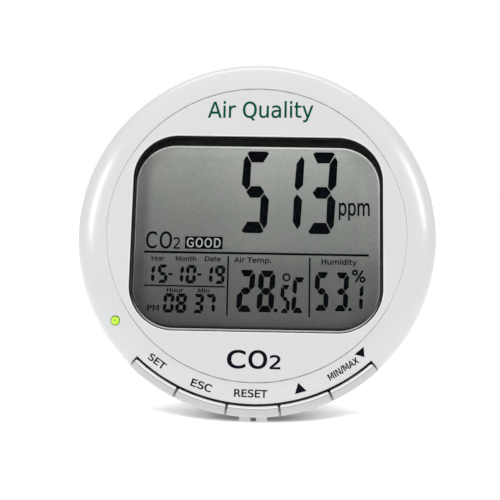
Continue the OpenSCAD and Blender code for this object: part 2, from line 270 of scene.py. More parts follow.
def bump(nt, b, h, strength, dist):
    n = nt.nodes.new("ShaderNodeBump")
    n.inputs["Strength"].default_value = strength
    n.inputs["Distance"].default_value = dist
    nt.links.new(h, n.inputs["Height"])
    nt.links.new(n.outputs[0], b.inputs["Normal"])
    return n


def plastic(name, col, rough=0.4, spread=0.02, grain=2600.0, depth=0.00001, strength=0.25, spec=0.5):
    """moulded plastic: slight tone drift, a fine spark-eroded grain and uneven gloss"""
    m, nt, b = new_mat(name)
    v = coords(nt)
    n1 = noise(nt, v, 38.0, 4.0, 0.55)
    hi_c = tuple(min(1.0, c * (1 + spread)) for c in col)
    lo_c = tuple(c * (1 - spread) for c in col)
    r = ramp(nt, n1.outputs[0], [(0.3, lo_c), (0.7, hi_c)])
    nt.links.new(r.outputs[0], b.inputs["Base Color"])
    n2 = noise(nt, v, grain, 2.0, 0.6)
    n3 = noise(nt, v, 160.0, 3.0, 0.6)
    rr_ = rng(nt, n3.outputs[0], rough * 0.88, rough * 1.14, 0.3, 0.7)
    nt.links.new(rr_.outputs[0], b.inputs["Roughness"])
    bump(nt, b, n2.outputs[0], strength, depth)
    b.inputs["Specular IOR Level"].default_value = spec
    return m


def metal(name, col, rough=0.3, stretch=(1, 1, 30)):
    m, nt, b = new_mat(name)
    v = coords(nt)
    v.inputs["Scale"].default_value = stretch
    n1 = noise(nt, v, 300.0, 4.0, 0.6)
    r = ramp(nt, n1.outputs[0], [(0.25, tuple(c * 0.82 for c in col)), (0.75, col)])
    nt.links.new(r.outputs[0], b.inputs["Base Color"])
    q = rng(nt, n1.outputs[0], rough * 0.75, rough * 1.3, 0.3, 0.7)
    nt.links.new(q.outputs[0], b.inputs["Roughness"])
    b.inputs["Metallic"].default_value = 1.0
    bump(nt, b, n1.outputs[0], 0.15, 0.00002)
    return m


M = {}
M["shell"] = plastic("shell_white", (0.494, 0.496, 0.501), 0.22, 0.010, 2400, 0.00001, 0.12, 0.5)
M["face"] = plastic("face_white", (0.495, 0.496, 0.500), 0.32, 0.010, 2800, 0.00001, 0.12, 0.45)
# painted shade: the keys' white plastic, set darker than the shell
M["key"] = plastic("key_white", (0.40, 0.402, 0.406), 0.24, 0.012, 2400, 0.00001, 0.12, 0.5)
# painted highlight: a lighter copy of the face plastic for the window's rounded edge
M["face_edge"] = plastic("face_edge_painted_highlight", (0.66, 0.66, 0.66), 0.25, 0.010, 2400, 0.00001, 0.1, 0.6)
# painted highlight: a lighter copy of the key plastic for the keys' sloping upper edge
M["key_edge"] = plastic("key_edge_painted_highlight", (0.93, 0.93, 0.935), 0.2, 0.010, 2400, 0.00001, 0.1, 0.6)
M["slit"] = plastic("slit_grey", (0.40, 0.40, 0.41), 0.6, 0.05, 2400, 0.00002, 0.3, 0.2)
# painted shade: dark grey for the wall behind the keys and the keys' inner walls
M["gap"] = plastic("gap_painted_shade", (0.10, 0.10, 0.108), 0.7, 0.05, 2400, 0.00002, 0.3, 0.2)
M["rear"] = plastic("rear_white", (0.515, 0.518, 0.525), 0.42, 0.015, 1500, 0.00003, 0.35, 0.45)
M["feet"] = plastic("feet_white", (0.78, 0.78, 0.785), 0.5, 0.015, 1500, 0.00003, 0.3, 0.4)
M["mask"] = plastic("mask_black", (0.0035, 0.0035, 0.004), 0.55, 0.1, 2400, 0.00002, 0.3, 0.12)
M["tape"] = plastic("tape_black", (0.006, 0.006, 0.006), 0.8, 0.2, 3000, 0.00003, 0.4, 0.1)
M["inner"] = plastic("inner_plastic", (0.55, 0.56, 0.55), 0.5, 0.03, 1500, 0.00003, 0.3)
M["chip"] = plastic("chip_black", (0.018, 0.018, 0.02), 0.5, 0.15, 3200, 0.00002, 0.5, 0.4)
M["socket"] = plastic("socket_black", (0.012, 0.012, 0.013), 0.38, 0.12, 2600, 0.00002, 0.3, 0.5)
M["strip"] = plastic("strip_rubber", (0.6, 0.3, 0.36), 0.7, 0.06, 1400, 0.00004, 0.5, 0.3)
M["rubber"] = plastic("rubber_grey", (0.045, 0.046, 0.048), 0.75, 0.12, 1200, 0.00006, 0.6, 0.3)
M["membrane"] = plastic("filter_white", (0.76, 0.76, 0.72), 0.8, 0.04, 900, 0.00006, 0.7, 0.3)
M["guide"] = plastic("guide_frosted", (0.72, 0.76, 0.74), 0.25, 0.02, 1200, 0.00002, 0.3, 0.6)
M["steel"] = metal("screw_steel", (0.62, 0.63, 0.65), 0.3)
M["brass"] = metal("sensor_brass", (0.66, 0.5, 0.22), 0.34, (1, 30, 1))
M["foil"] = metal("label_silver", (0.7, 0.71, 0.72), 0.42, (40, 1, 1))
M["ink"] = plastic("ink_navy", (0.002, 0.002, 0.006), 0.6, 0.2, 2400, 0.00001, 0.2, 0.04)
M["ink_green"] = plastic("ink_green", (0.0001, 0.056, 0.031), 0.6, 0.1, 2400, 0.00001, 0.2, 0.02)


def board_material():
    m, nt, b = new_mat("board_green")
    v = coords(nt)
    br = nt.nodes.new("ShaderNodeTexBrick")
    br.inputs["Scale"].default_value = 300.0
    br.inputs["Mortar Size"].default_value = 0.03
    br.inputs["Color1"].default_value = (0.02, 0.16, 0.06, 1)
    br.inputs["Color2"].default_value = (0.018, 0.13, 0.05, 1)
    br.inputs["Mortar"].default_value = (0.04, 0.24, 0.1, 1)
    nt.links.new(v.outputs[0], br.inputs["Vector"])
    nt.links.new(br.outputs[0], b.inputs["Base Color"])
    n = noise(nt, v, 700.0)
    q = rng(nt, n.outputs[0], 0.25, 0.4, 0.3, 0.7)
    nt.links.new(q.outputs[0], b.inputs["Roughness"])
    bump(nt, b, br.outputs["Fac"], 0.3, 0.00003)
    return m


M["board"] = board_material()


def mesh_filter_material():
    m, nt, b = new_mat("filter_dark")
    v = coords(nt)
    w = nt.nodes.new("ShaderNodeTexVoronoi")
    w.inputs["Scale"].default_value = 1800.0
    nt.links.new(v.outputs[0], w.inputs["Vector"])
    r = ramp(nt, w.outputs["Distance"], [(0.15, (0.015, 0.015, 0.017)), (0.6, (0.13, 0.13, 0.135))])
    nt.links.new(r.outputs[0], b.inputs["Base Color"])
    b.inputs["Roughness"].default_value = 0.85
    bump(nt, b, w.outputs["Distance"], 0.7, 0.0002)
    return m


M["filter"] = mesh_filter_material()


def axis_value(nt, axis, offset):
    """distance along an axis of the case's frame, in metres"""
    tc = nt.nodes.new("ShaderNodeTexCoord")
    sub = nt.nodes.new("ShaderNodeVectorMath")
    sub.operation = "SUBTRACT"
    sub.inputs[1].default_value = tuple(offset)
    nt.links.new(tc.outputs["Object"], sub.inputs[0])
    d = nt.nodes.new("ShaderNodeVectorMath")
    d.operation = "DOT_PRODUCT"
    d.inputs[1].default_value = tuple(axis)
    nt.links.new(sub.outputs[0], d.inputs[0])
    return d.outputs["Value"]


def times(nt, a, b, colour=True):
    mx = nt.nodes.new("ShaderNodeMix")
    mx.data_type = "RGBA"
    mx.blend_type = "MULTIPLY"
    mx.inputs[0].default_value = 1.0
    nt.links.new(a, mx.inputs[6])
    nt.links.new(b, mx.inputs[7])
    return mx.outputs[2]


# painted light and shade on the display glass: tones down the glass (LCD_UP) and across it (LCD_ACROSS), scaled by
# LCD_GAIN
LCD_GAIN = 1.065
LCD_UP = [(-36, 0.072), (-31.5, 0.086), (-24, 0.094), (-18, 0.101), (-11.5, 0.112), (-3.8, 0.159), (8, 0.189), (15, 0.222),
          (20, 0.245), (25, 0.278), (28, 0.295), (31, 0.375), (35, 0.42)]
LCD_ACROSS = [(-45, 0.95), (-43, 0.86), (-42, 0.71), (-41.2, 0.67), (-38, 0.84), (-30, 0.83), (-20, 0.84), (-10, 0.93), (0, 1.0),
              (10, 0.98), (20, 0.98), (30, 1.0), (36, 0.98), (40, 1.17), (42, 1.33), (43.2, 1.6), (44.5, 1.9)]


def lcd_material(name="lcd_grey", gain=1.0, low=1.0):
    """reflective display with painted light and shade: darker down the glass and towards its left side, brighter
    towards its right edge, with the polariser's fine grain
    """
    m, nt, b = new_mat(name)
    up = rng(nt, axis_value(nt, (0, SL, CL), ORG), 0.0, 1.0, -0.036, 0.036)
    hue = (0.968, 1.0, 0.94)
    stops = [((y + 36) / 72, tuple(v_ * LCD_GAIN * gain * (low if y < -29 else 1.0) * h_ for h_ in hue)) for y, v_ in LCD_UP]
    r = ramp(nt, up.outputs[0], stops)
    ac = rng(nt, axis_value(nt, (1, 0, 0), ORG), 0.0, 1.0, -0.045, 0.045)
    # outside the working area the glass is a little warmer
    st = []
    for x, v_ in LCD_ACROSS:
        w = 1.07 if abs(x) > 41 else 1.0
        st.append(((x + 45) / 90, (v_ * w, v_, v_ * w)))
    r2 = ramp(nt, ac.outputs[0], st)
    v = coords(nt)
    n = noise(nt, v, 1100.0, 4.0, 0.75)
    nn = ramp(nt, n.outputs[0], [(0.3, (0.82, 0.84, 0.83)), (0.7, (1.04, 1.03, 1.04))])
    n2 = noise(nt, v, 55.0, 2.0, 0.5)
    n2r = ramp(nt, n2.outputs[0], [(0.3, (0.95, 0.97, 0.96)), (0.7, (1.0, 1.0, 1.0))])
    col = times(nt, r.outputs[0], r2.outputs[0])
    col = times(nt, col, nn.outputs[0])
    col = times(nt, col, n2r.outputs[0])
    nt.links.new(col, b.inputs["Base Color"])
    b.inputs["Roughness"].default_value = 0.6
    b.inputs["Specular IOR Level"].default_value = 0.05
    bump(nt, b, n.outputs[0], 0.1, 0.00001)
    return m


M["lcd"] = lcd_material()
# painted highlight: a brighter copy of the display tone for the thin strip round the glass, dimmer along the bottom
M["lcd_edge"] = lcd_material("lcd_edge", 2.05, 0.3)


def lens_material():
    m, nt, b = new_mat("lens_clear")
    b.inputs["Base Color"].default_value = (0.02, 0.022, 0.022, 1)
    lw_ = nt.nodes.new("ShaderNodeLayerWeight")
    lw_.inputs["Blend"].default_value = 0.5
    al = rng(nt, lw_.outputs["Facing"], 0.006, 0.6, 0.55, 1.0)
    al.interpolation_type = "SMOOTHSTEP"
    nt.links.new(al.outputs[0], b.inputs["Alpha"])
    v = coords(nt)
    n = noise(nt, v, 60.0)
    q = rng(nt, n.outputs[0], 0.03, 0.06, 0.3, 0.7)
    nt.links.new(q.outputs[0], b.inputs["Roughness"])
    b.inputs["Specular IOR Level"].default_value = 0.3
    return m


def lens_edge_material():
    """polished edge of the window: painted light along the bottom, painted shade where it faces away from the light"""
    m, nt, b = new_mat("lens_edge")
    up = rng(nt, axis_value(nt, (0, SL, CL), ORG), 0.0, 1.0, -0.036, 0.036)
    v = coords(nt)
    n = noise(nt, v, 300.0)
    lit = ramp(nt, up.outputs[0], [(0.03, (0.55, 0.565, 0.56)), (0.09, (0.32, 0.33, 0.33)), (0.17, (0.05, 0.05, 0.052)), (0.6, (0.02, 0.02, 0.021)), (1.0, (0.012, 0.012, 0.013))])
    g_ = ramp(nt, n.outputs[0], [(0.3, (0.9, 0.9, 0.9)), (0.7, (1.0, 1.0, 1.0))])
    nt.links.new(times(nt, lit.outputs[0], g_.outputs[0]), b.inputs["Base Color"])
    b.inputs["Alpha"].default_value = 0.85
    b.inputs["Roughness"].default_value = 0.3
    b.inputs["Specular IOR Level"].default_value = 0.15
    return m


M["lens"] = lens_material()
M["lens_edge"] = lens_edge_material()


def led_material():
    """clear green dome: the chip shows as a darker middle, and painted shade darkens the dome towards its rim"""
    m, nt, b = new_mat("led_green")
    at_led = D(LED[0], LED[1], 0.0)
    dx_ = axis_value(nt, (1, 0, 0), at_led)
    dy_ = axis_value(nt, (0, SL, CL), at_led)
    sq = []
    for o_ in (dx_, dy_):
        mu = nt.nodes.new("ShaderNodeMath")
        mu.operation = "MULTIPLY"
        nt.links.new(o_, mu.inputs[0])
        nt.links.new(o_, mu.inputs[1])
        sq.append(mu.outputs[0])
    ad = nt.nodes.new("ShaderNodeMath")
    ad.operation = "ADD"
    nt.links.new(sq[0], ad.inputs[0])
    nt.links.new(sq[1], ad.inputs[1])
    rt = nt.nodes.new("ShaderNodeMath")
    rt.operation = "SQRT"
    nt.links.new(ad.outputs[0], rt.inputs[0])
    q = rng(nt, rt.outputs[0], 0.0, 1.0, 0.0, 0.0016)
    v = coords(nt)
    n = noise(nt, v, 500.0)
    r = ramp(nt, q.outputs[0], [(0.0, (0.14, 0.30, 0.006)), (0.22, (0.2, 0.42, 0.006)), (0.45, (0.42, 0.80, 0.015)), (0.68, (0.40, 0.76, 0.012)), (0.88, (0.24, 0.5, 0.008)), (1.0, (0.12, 0.28, 0.006))])
    g_ = ramp(nt, n.outputs[0], [(0.25, (0.85, 0.88, 0.8)), (0.75, (1.0, 1.0, 1.0))])
    col = times(nt, r.outputs[0], g_.outputs[0])
    nt.links.new(col, b.inputs["Base Color"])
    nt.links.new(col, b.inputs["Emission Color"])
    b.inputs["Emission Strength"].default_value = 0.3
    b.inputs["Roughness"].default_value = 0.14
    b.inputs["Coat Weight"].default_value = 0.15
    b.inputs["Coat Roughness"].default_value = 0.05
    return m


M["led"] = led_material()


def groove_material():
    """foot of the groove round the face plate: the face's own tone along the top and bottom, painted lighter towards
    the sides as painted light that fills the groove there
    """
    m, nt, b = new_mat("groove_sides_painted_light")
    ac = rng(nt, axis_value(nt, (1, 0, 0), ORG), 0.0, 1.0, -0.0536, 0.0536)
    r = ramp(nt, ac.outputs[0], [(0.0, (0.95, 0.95, 0.95)), (0.07, (0.9, 0.9, 0.9)), (0.17, (0.5, 0.5, 0.5)), (0.83, (0.5, 0.5, 0.5)), (0.93, (0.9, 0.9, 0.9)), (1.0, (0.95, 0.95, 0.95))])
    n = noise(nt, coords(nt), 220.0)
    g_ = ramp(nt, n.outputs[0], [(0.3, (0.93, 0.93, 0.93)), (0.7, (1.0, 1.0, 1.0))])
    nt.links.new(times(nt, r.outputs[0], g_.outputs[0]), b.inputs["Base Color"])
    b.inputs["Roughness"].default_value = 0.5
    return m


M["groove"] = groove_material()

CAD_LOOK = {
    "lens_tape": "tape", "lcd_glass": "lcd", "lcd_light_guide": "guide", "lcd_holder": "inner", "elastomer_strips": "strip",
    "main_pcb": "board", "pcb_screws": "steel", "microcontroller": "chip", "tact_switches": "chip",
    "set_switch_stem": "chip", "escape_switch_stem": "chip", "reset_switch_stem": "chip", "up_switch_stem": "chip",
    "down_switch_stem": "chip", "co2_sensor_board": "board", "co2_sensor_chamber": "brass",
    "co2_filter": "membrane", "sensor_header": "chip", "humidity_sensor": "membrane", "buzzer": "chip", "coin_cell": "steel",
    "coin_cell_clip": "steel", "dc_jack": "socket", "output_jack": "socket", "usb_socket": "steel", "vent_filters": "filter",
    "rating_label": "foil", "case_screws": "steel", "stand_pin": "steel", "front_bezel": "shell", "face_plate": "face",
    "display_lens": "lens", "display_mask": "mask", "set_key": "key", "escape_key": "key", "reset_key": "key",
    "up_key": "key", "down_key": "key", "status_led": "led", "rear_cover": "rear", "desk_stand": "rear",
    "stand_foot_pad": "rubber", "front_feet": "feet",
}
for node, look in CAD_LOOK.items():
    me = frame["nodes"][node].data
    me.materials.clear()
    me.materials.append(M[look])


def dress(ob, look, body="case", nodes=()):
    looks = look if isinstance(look, (list, tuple)) else [look]
    idx = [p_.material_index for p_ in ob.data.polygons]
    ob.data.materials.clear()
    for l in looks:
        ob.data.materials.append(M[l])
    if len(looks) > 1:
        ob.data.polygons.foreach_set("material_index", idx)
    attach(ob, body)
    if nodes:
        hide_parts(*nodes)
    return ob


# ------------------------------------------------------------------ front shell

def outer_rim(r_end=None):
    """front surface from the groove out to the parting line, or to r_end"""
    p = [(53.6, -0.9), (53.6, -0.27)] + arc(53.86, -0.27, 0.26, 165, 92, 5)
    n = 26
    stop = 61.0
    for i in range(1, n + 1):
        r = 53.95 + (min(stop, r_end or stop) - 53.95) * i / n
        p.append((r, ring_z(r)))
    if r_end:
        return p
    a_start = math.degrees(math.asin(min(1, (61.0 - 58.6) / 6.4)))
    p += [(58.6 + 6.4 * math.sin(math.radians(a)), -7.64 + 6.4 * math.cos(math.radians(a))) for a in [a_start + (90 - a_start) * i / 22 for i in range(1, 23)]]
    p += [(65.0, -8.7)] + arc(64.72, -8.7, 0.28, 0, -90, 4)[1:]
    return p


def inner_skin():
    """inner surface of the skin from the parting line back to the ledge"""
    p = [(62.8, -8.98), (62.8, -7.64)]
    j = math.degrees(math.asin(0.375))
    p += [(58.6 + 4.2 * math.cos(math.radians(a)), -7.64 + 4.2 * math.sin(math.radians(a))) for a in [(90 - j) * i / 8 for i in range(1, 9)]]
    for i in range(1, 5):
        r = 60.1 + (56.1 - 60.1) * i / 4
        p.append((r, -24.24 + math.sqrt(22.1 ** 2 - (r - 51.905) ** 2)))
    return p


LEDGE = [(56.0, -4.3), (51.6, -4.3), (51.6, -2.25), (53.6, -2.25)]

s = Soup()
full = outer_rim() + inner_skin() + LEDGE
solid_end = outer_rim() + [(62.0, -8.98), (59.23, -8.8), (59.23, -3.6)] + inner_skin()[-4:] + LEDGE
cut = outer_rim(60.5) + arc(60.5, ring_z(60.5) - 0.29, 0.29, 78, 0, 4) + [(60.79, -3.2), (RK, -4.4), (RK, -8.7), (59.23, -8.7), (59.23, -3.4)] + inner_skin()[-4:] + LEDGE
revolve(s, full, -90 + NOTCH + 2, 270 - NOTCH - 2, 0.6)
revolve(s, solid_end, -90 + NOTCH, -90 + NOTCH + 2, 0.5)
revolve(s, solid_end, 270 - NOTCH - 2, 270 - NOTCH, 0.5)
bezel = s.make("bezel_shell")
s = Soup()
revolve(s, cut, -90 - NOTCH, -90 + NOTCH, 0.6)
lip = s.make("bezel_lip")

c = Soup()
c.loops([at([(LED[0] + 1.72 * math.cos(a), LED[1] + 1.72 * math.sin(a)) for a in [2 * math.pi * k / 48 for k in range(48)]], z) for z in (-12, 3)], cap0=True, cap1=True)
bool_op(bezel, c.make("led_cutter"))
bm = bmesh.new()
bm.from_mesh(bezel.data)
bm.from_mesh(lip.data)
bm.to_mesh(bezel.data)
bm.free()
bpy.data.objects.remove(lip)
resmooth(bezel)
for p_ in bezel.data.polygons:
    # the wall behind the keys is painted dark grey as shade
    w_ = [bezel.data.vertices[i].co - ORG for i in p_.vertices]
    rr_ = [math.hypot(q.x, q.y * SL + q.z * CL) * 1000 for q in w_]
    zz_ = [(-q.y * CL + q.z * SL) * 1000 for q in w_]
    yy_ = [(q.y * SL + q.z * CL) * 1000 for q in w_]
    if min(rr_) > 60.7 and max(rr_) < RK + 0.05 and max(zz_) < -1.6 and max(yy_) < -36:
        p_.material_index = 1
dress(bezel, ["shell", "gap"], "case", ["front_bezel"])

# ------------------------------------------------------------------ face plate

A, B, RC = 45.0, 35.65, 16.2
CX0, CY0 = 0.15, -0.2
s = Soup()
win = rrect(A, B, RC, CX0, CY0)
n = len(win)


def circ_like(loop, r):
    out = []
    for x, y in loop:
        a = math.atan2(y - CY0, x - CX0)
        # the ray from the window's middle to the circle
        dx_, dy_ = math.cos(a), math.sin(a)
        bq = dx_ * CX0 + dy_ * CY0
        t_ = -bq + math.sqrt(bq * bq - CX0 * CX0 - CY0 * CY0 + r * r)
        out.append((CX0 + dx_ * t_, CY0 + dy_ * t_))
    return out


def grow(d):
    return rrect(A + d, B + d, RC + d, CX0, CY0)


edge_r = 0.3
loops = [at(grow(0.0), -2.2), at(grow(0.0), -edge_r)]
for i in range(1, 7):
    a = math.radians(90 * i / 6)
    loops.append(at(grow(edge_r * (1 - math.cos(a))), -edge_r + edge_r * math.sin(a)))
outer = circ_like(win, 53.45 - 0.3)
inn = grow(edge_r)
for i in range(1, 7):
    t = i / 6
    loops.append([(p[0] + (q[0] - p[0]) * t, p[1] + (q[1] - p[1]) * t, 0.0) for p, q in zip(inn, outer)])
for i in range(1, 6):
    a = math.radians(90 * i / 5)
    loops.append(at(circ_like(win, 53.15 + 0.3 * math.sin(a)), -0.3 + 0.3 * math.cos(a)))


def shallow(loop, z):
    """the groove runs out towards the sides"""
    out = []
    for x, y in loop:
        t_ = min(1.0, max(0.0, (abs(x) / 53.5 - 0.80) / 0.14))
        t_ = t_ * t_ * (3 - 2 * t_)
        out.append((x, y, z * (1 - t_) - 0.31 * t_))
    return out


loops.append(shallow(circ_like(win, 53.45), -0.42))
loops.append([(x, y, z - 0.01) for x, y, z in shallow(circ_like(win, 53.58), -0.48)])
loops.append(at(circ_like(win, 53.58), -2.2))
# slot 1 puts the painted highlight on the window's rounded edge; slot 2 is the groove foot, painted lighter at the
# sides
kinds = [0, 0, 0, 1, 1, 1, 1] + [0] * 11 + [2, 2, 0, 0]
s.loops(loops, close_u=True, close_v=True, mis=kinds[:len(loops)])
plate = s.make("face_disc")
dress(plate, ["face", "face_edge", "groove"], "case", ["face_plate"])

# ------------------------------------------------------------------ window and black frame

s = Soup()
la, lb, lr = 44.7, 35.35, 15.95
ch = 0.6


def lens_loop(d, z):
    return at(rrect(la - d, lb - d, lr - d, CX0, CY0), z)


s.loops([lens_loop(0.0, -2.1), lens_loop(0.0, -0.6 - ch), lens_loop(0.06, -0.6 - ch * 0.7), lens_loop(ch * 0.75, -0.63), lens_loop(ch, -0.6)], mi=1)
nn_ = len(s.v)
top = lens_loop(ch, -0.6)
s.add(top, [tuple(range(len(top)))], 0)
bot = lens_loop(0.0, -2.1)
s.add(bot, [tuple(reversed(range(len(bot))))], 0)
lens = s.make("window_lens", sharp=20)
bm = bmesh.new(); bm.from_mesh(lens.data)
bmesh.ops.remove_doubles(bm, verts=bm.verts, dist=1e-7)
bm.to_mesh(lens.data); bm.free()
resmooth(lens, 20)
dress(lens, ["lens", "lens_edge"], "case", ["display_lens"])

s = Soup()


def mask_out(z):
    return at(rrect(45.2, 35.9, 16.5, 0, -0.1), z)


def mask_in(a, b, r, cy, z, cx=0.15):
    return at(rrect(a, b, r, cx, cy), z)


s.loops([
    mask_out(-4.98), mask_out(-2.4),
    mask_in(44.9, 35.56, 16.15, CY0, -2.4, CX0), mask_in(44.9, 35.56, 16.15, CY0, -0.75, CX0),
    mask_in(44.74, 35.41, 16.02, CY0, -0.75, CX0), mask_in(44.74, 35.41, 16.02, CY0, -2.3, CX0),
    mask_in(44.25, 34.8, 15.6, CY0, -2.3, CX0), mask_in(44.15, 34.7, 15.5, CY0, -2.5, CX0),
    mask_in(44.2, 33.55, 14.7, -0.5, -4.8), mask_in(44.38, 33.35, 14.5, -0.5, -4.98),
], close_v=True)
mask = s.make("window_mask", sharp=25)
dress(mask, "mask", "case", ["display_mask"])

# thin flat strip round the display glass that carries the painted highlight
s = Soup()
o_ = lambda z: at(rrect(44.5, 33.47, 14.6, 0.15, -0.5), z)
i_ = lambda z: at(rrect(43.86, 32.83, 14.0, 0.15, -0.5), z)
s.loops([o_(-4.995), o_(-4.97), i_(-4.97), i_(-4.995)], close_v=True)
highlight_strip = s.make("glass_edge_painted_highlight", smooth=False)
dress(highlight_strip, "lcd_edge", "case")

# ------------------------------------------------------------------ display contents

seg = Soup()
ZS0, ZS1 = -4.995, -4.96
SLANT = 0.05


def digit(ch_, x0, y0, w, h, tv, th, gap=0.2, slant=SLANT):
    """seven-part figure in a leaning cell whose middle height spans x0 to x0+w"""
    m_ = h / 2
    up_f = [(0.36 * tv, h - 0.38 * th), (0.95 * tv, h - 1.07 * th), (tv, m_ + 0.53 * th), (0.64 * tv, m_ + 0.15 * th), (0.0, m_ + 0.68 * th), (0.03 * tv, h - 0.78 * th)]
    top_a = [(0.38 * tv, h - 0.17 * th), (0.68 * tv, h), (w - 0.68 * tv, h), (w - 0.38 * tv, h - 0.17 * th), (w - 0.98 * tv, h - th), (0.98 * tv, h - th)]
    parts = {
        "a": top_a,
        "f": up_f,
        "b": [(w - x, y) for x, y in up_f],
        "e": [(x, h - y) for x, y in up_f],
        "c": [(w - x, h - y) for x, y in up_f],
        "d": [(x, h - y) for x, y in top_a],
        "g": [(0.6 * tv, m_), (1.12 * tv, m_ + 0.52 * th), (w - 1.12 * tv, m_ + 0.52 * th), (w - 0.6 * tv, m_), (w - 1.12 * tv, m_ - 0.52 * th), (1.12 * tv, m_ - 0.52 * th)],
    }
    table = {"0": "abcdef", "1": "bc", "2": "abged", "3": "abgcd", "5": "afgcd", "7": "abc", "8": "abcdefg", "9": "abcfgd", "C": "afed"}
    for q in table[ch_]:
        poly = [(x0 + x + slant * (y - m_), y0 + y) for x, y in parts[q]]
        seg.prism(poly, ZS0, ZS1)


def bar(x0, y0, x1, y1, t):
    dx_, dy_ = x1 - x0, y1 - y0
    l = math.hypot(dx_, dy_)
    nx, ny = -dy_ / l * t / 2, dx_ / l * t / 2
    seg.prism([(x0 + nx, y0 + ny), (x0 - nx, y0 - ny), (x1 - nx, y1 - ny), (x1 + nx, y1 + ny)], ZS0, ZS1)


def ringlet(cx, cy, r0, r1, n_=28):
    lp = lambda r, z: [(cx + r * math.cos(2 * math.pi * k / n_), cy + r * math.sin(2 * math.pi * k / n_), z) for k in range(n_)]
    seg.loops([lp(r0, ZS0), lp(r0, ZS1), lp(r1, ZS1), lp(r1, ZS0)], close_v=True)


def dot(cx, cy, r, n_=20):
    seg.prism([(cx + r * math.cos(2 * math.pi * k / n_), cy + r * math.sin(2 * math.pi * k / n_)) for k in range(n_)], ZS0, ZS1)


digit("5", -5.9, 0.55, 10.3, 30.65, 3.05, 4.2, 0.22)
digit("1", 6.3, 0.55, 10.15, 30.65, 3.05, 4.2, 0.22)
digit("3", 18.2, 0.55, 10.35, 30.65, 3.05, 4.2, 0.22)
# date row
for ch_, x in (("1", -40.0), ("5", -35.3), ("1", -29.6), ("0", -25.1), ("1", -19.1), ("9", -14.75)):
    digit(ch_, x, -18.3, 3.7, 6.75, 1.27, 1.23, 0.1)
bar(-31.35, -15.02, -29.9, -15.02, 0.8)
bar(-20.95, -15.0, -19.45, -15.0, 0.8)
# time row
for ch_, x in (("0", -32.85), ("8", -28.4), ("3", -22.3), ("7", -18.1)):
    digit(ch_, x, -28.95, 3.9, 6.95, 1.31, 1.26, 0.1)
# air temperature
digit("2", -6.5, -28.25, 6.15, 15.25, 2.08, 2.38, 0.16)
digit("8", 0.75, -28.2, 6.15, 15.1, 2.08, 2.38, 0.16)
dot(7.35, -27.45, 0.72)
digit("5", 8.9, -28.35, 3.55, 10.15, 1.4, 1.58, 0.12)
ringlet(11.04, -15.45, 0.88, 1.5)
digit("C", 13.15, -28.3, 4.6, 13.0, 1.6, 1.95, 0.14)
# humidity
digit("5", 21.05, -27.35, 5.2, 14.05, 1.83, 2.22, 0.15)
digit("3", 28.0, -27.35, 5.2, 14.05, 1.83, 2.22, 0.15)
dot(33.75, -26.7, 0.6)
digit("1", 34.6, -27.1, 3.8, 9.6, 1.32, 1.4, 0.12)
ringlet(35.5, -13.35, 0.44, 1.12)
ringlet(38.2, -15.8, 0.44, 1.12)
bar(38.3, -12.5, 35.7, -16.8, 0.66)
# rules
bar(-40.4, -6.95, 40.5, -6.99, 0.8)
bar(-10.02, -8.08, -9.96, -29.65, 0.58)
bar(19.31, -8.14, 19.31, -29.7, 0.58)
bar(-39.9, -19.2, -10.95, -19.3, 0.5)
# the word box, with its letters left open below
GB = (-25.78, -5.62, -12.2, -1.02)
segments = seg.make("lcd_segments", smooth=False)

# ------------------------------------------------------------------ lettering (generic words and units only)

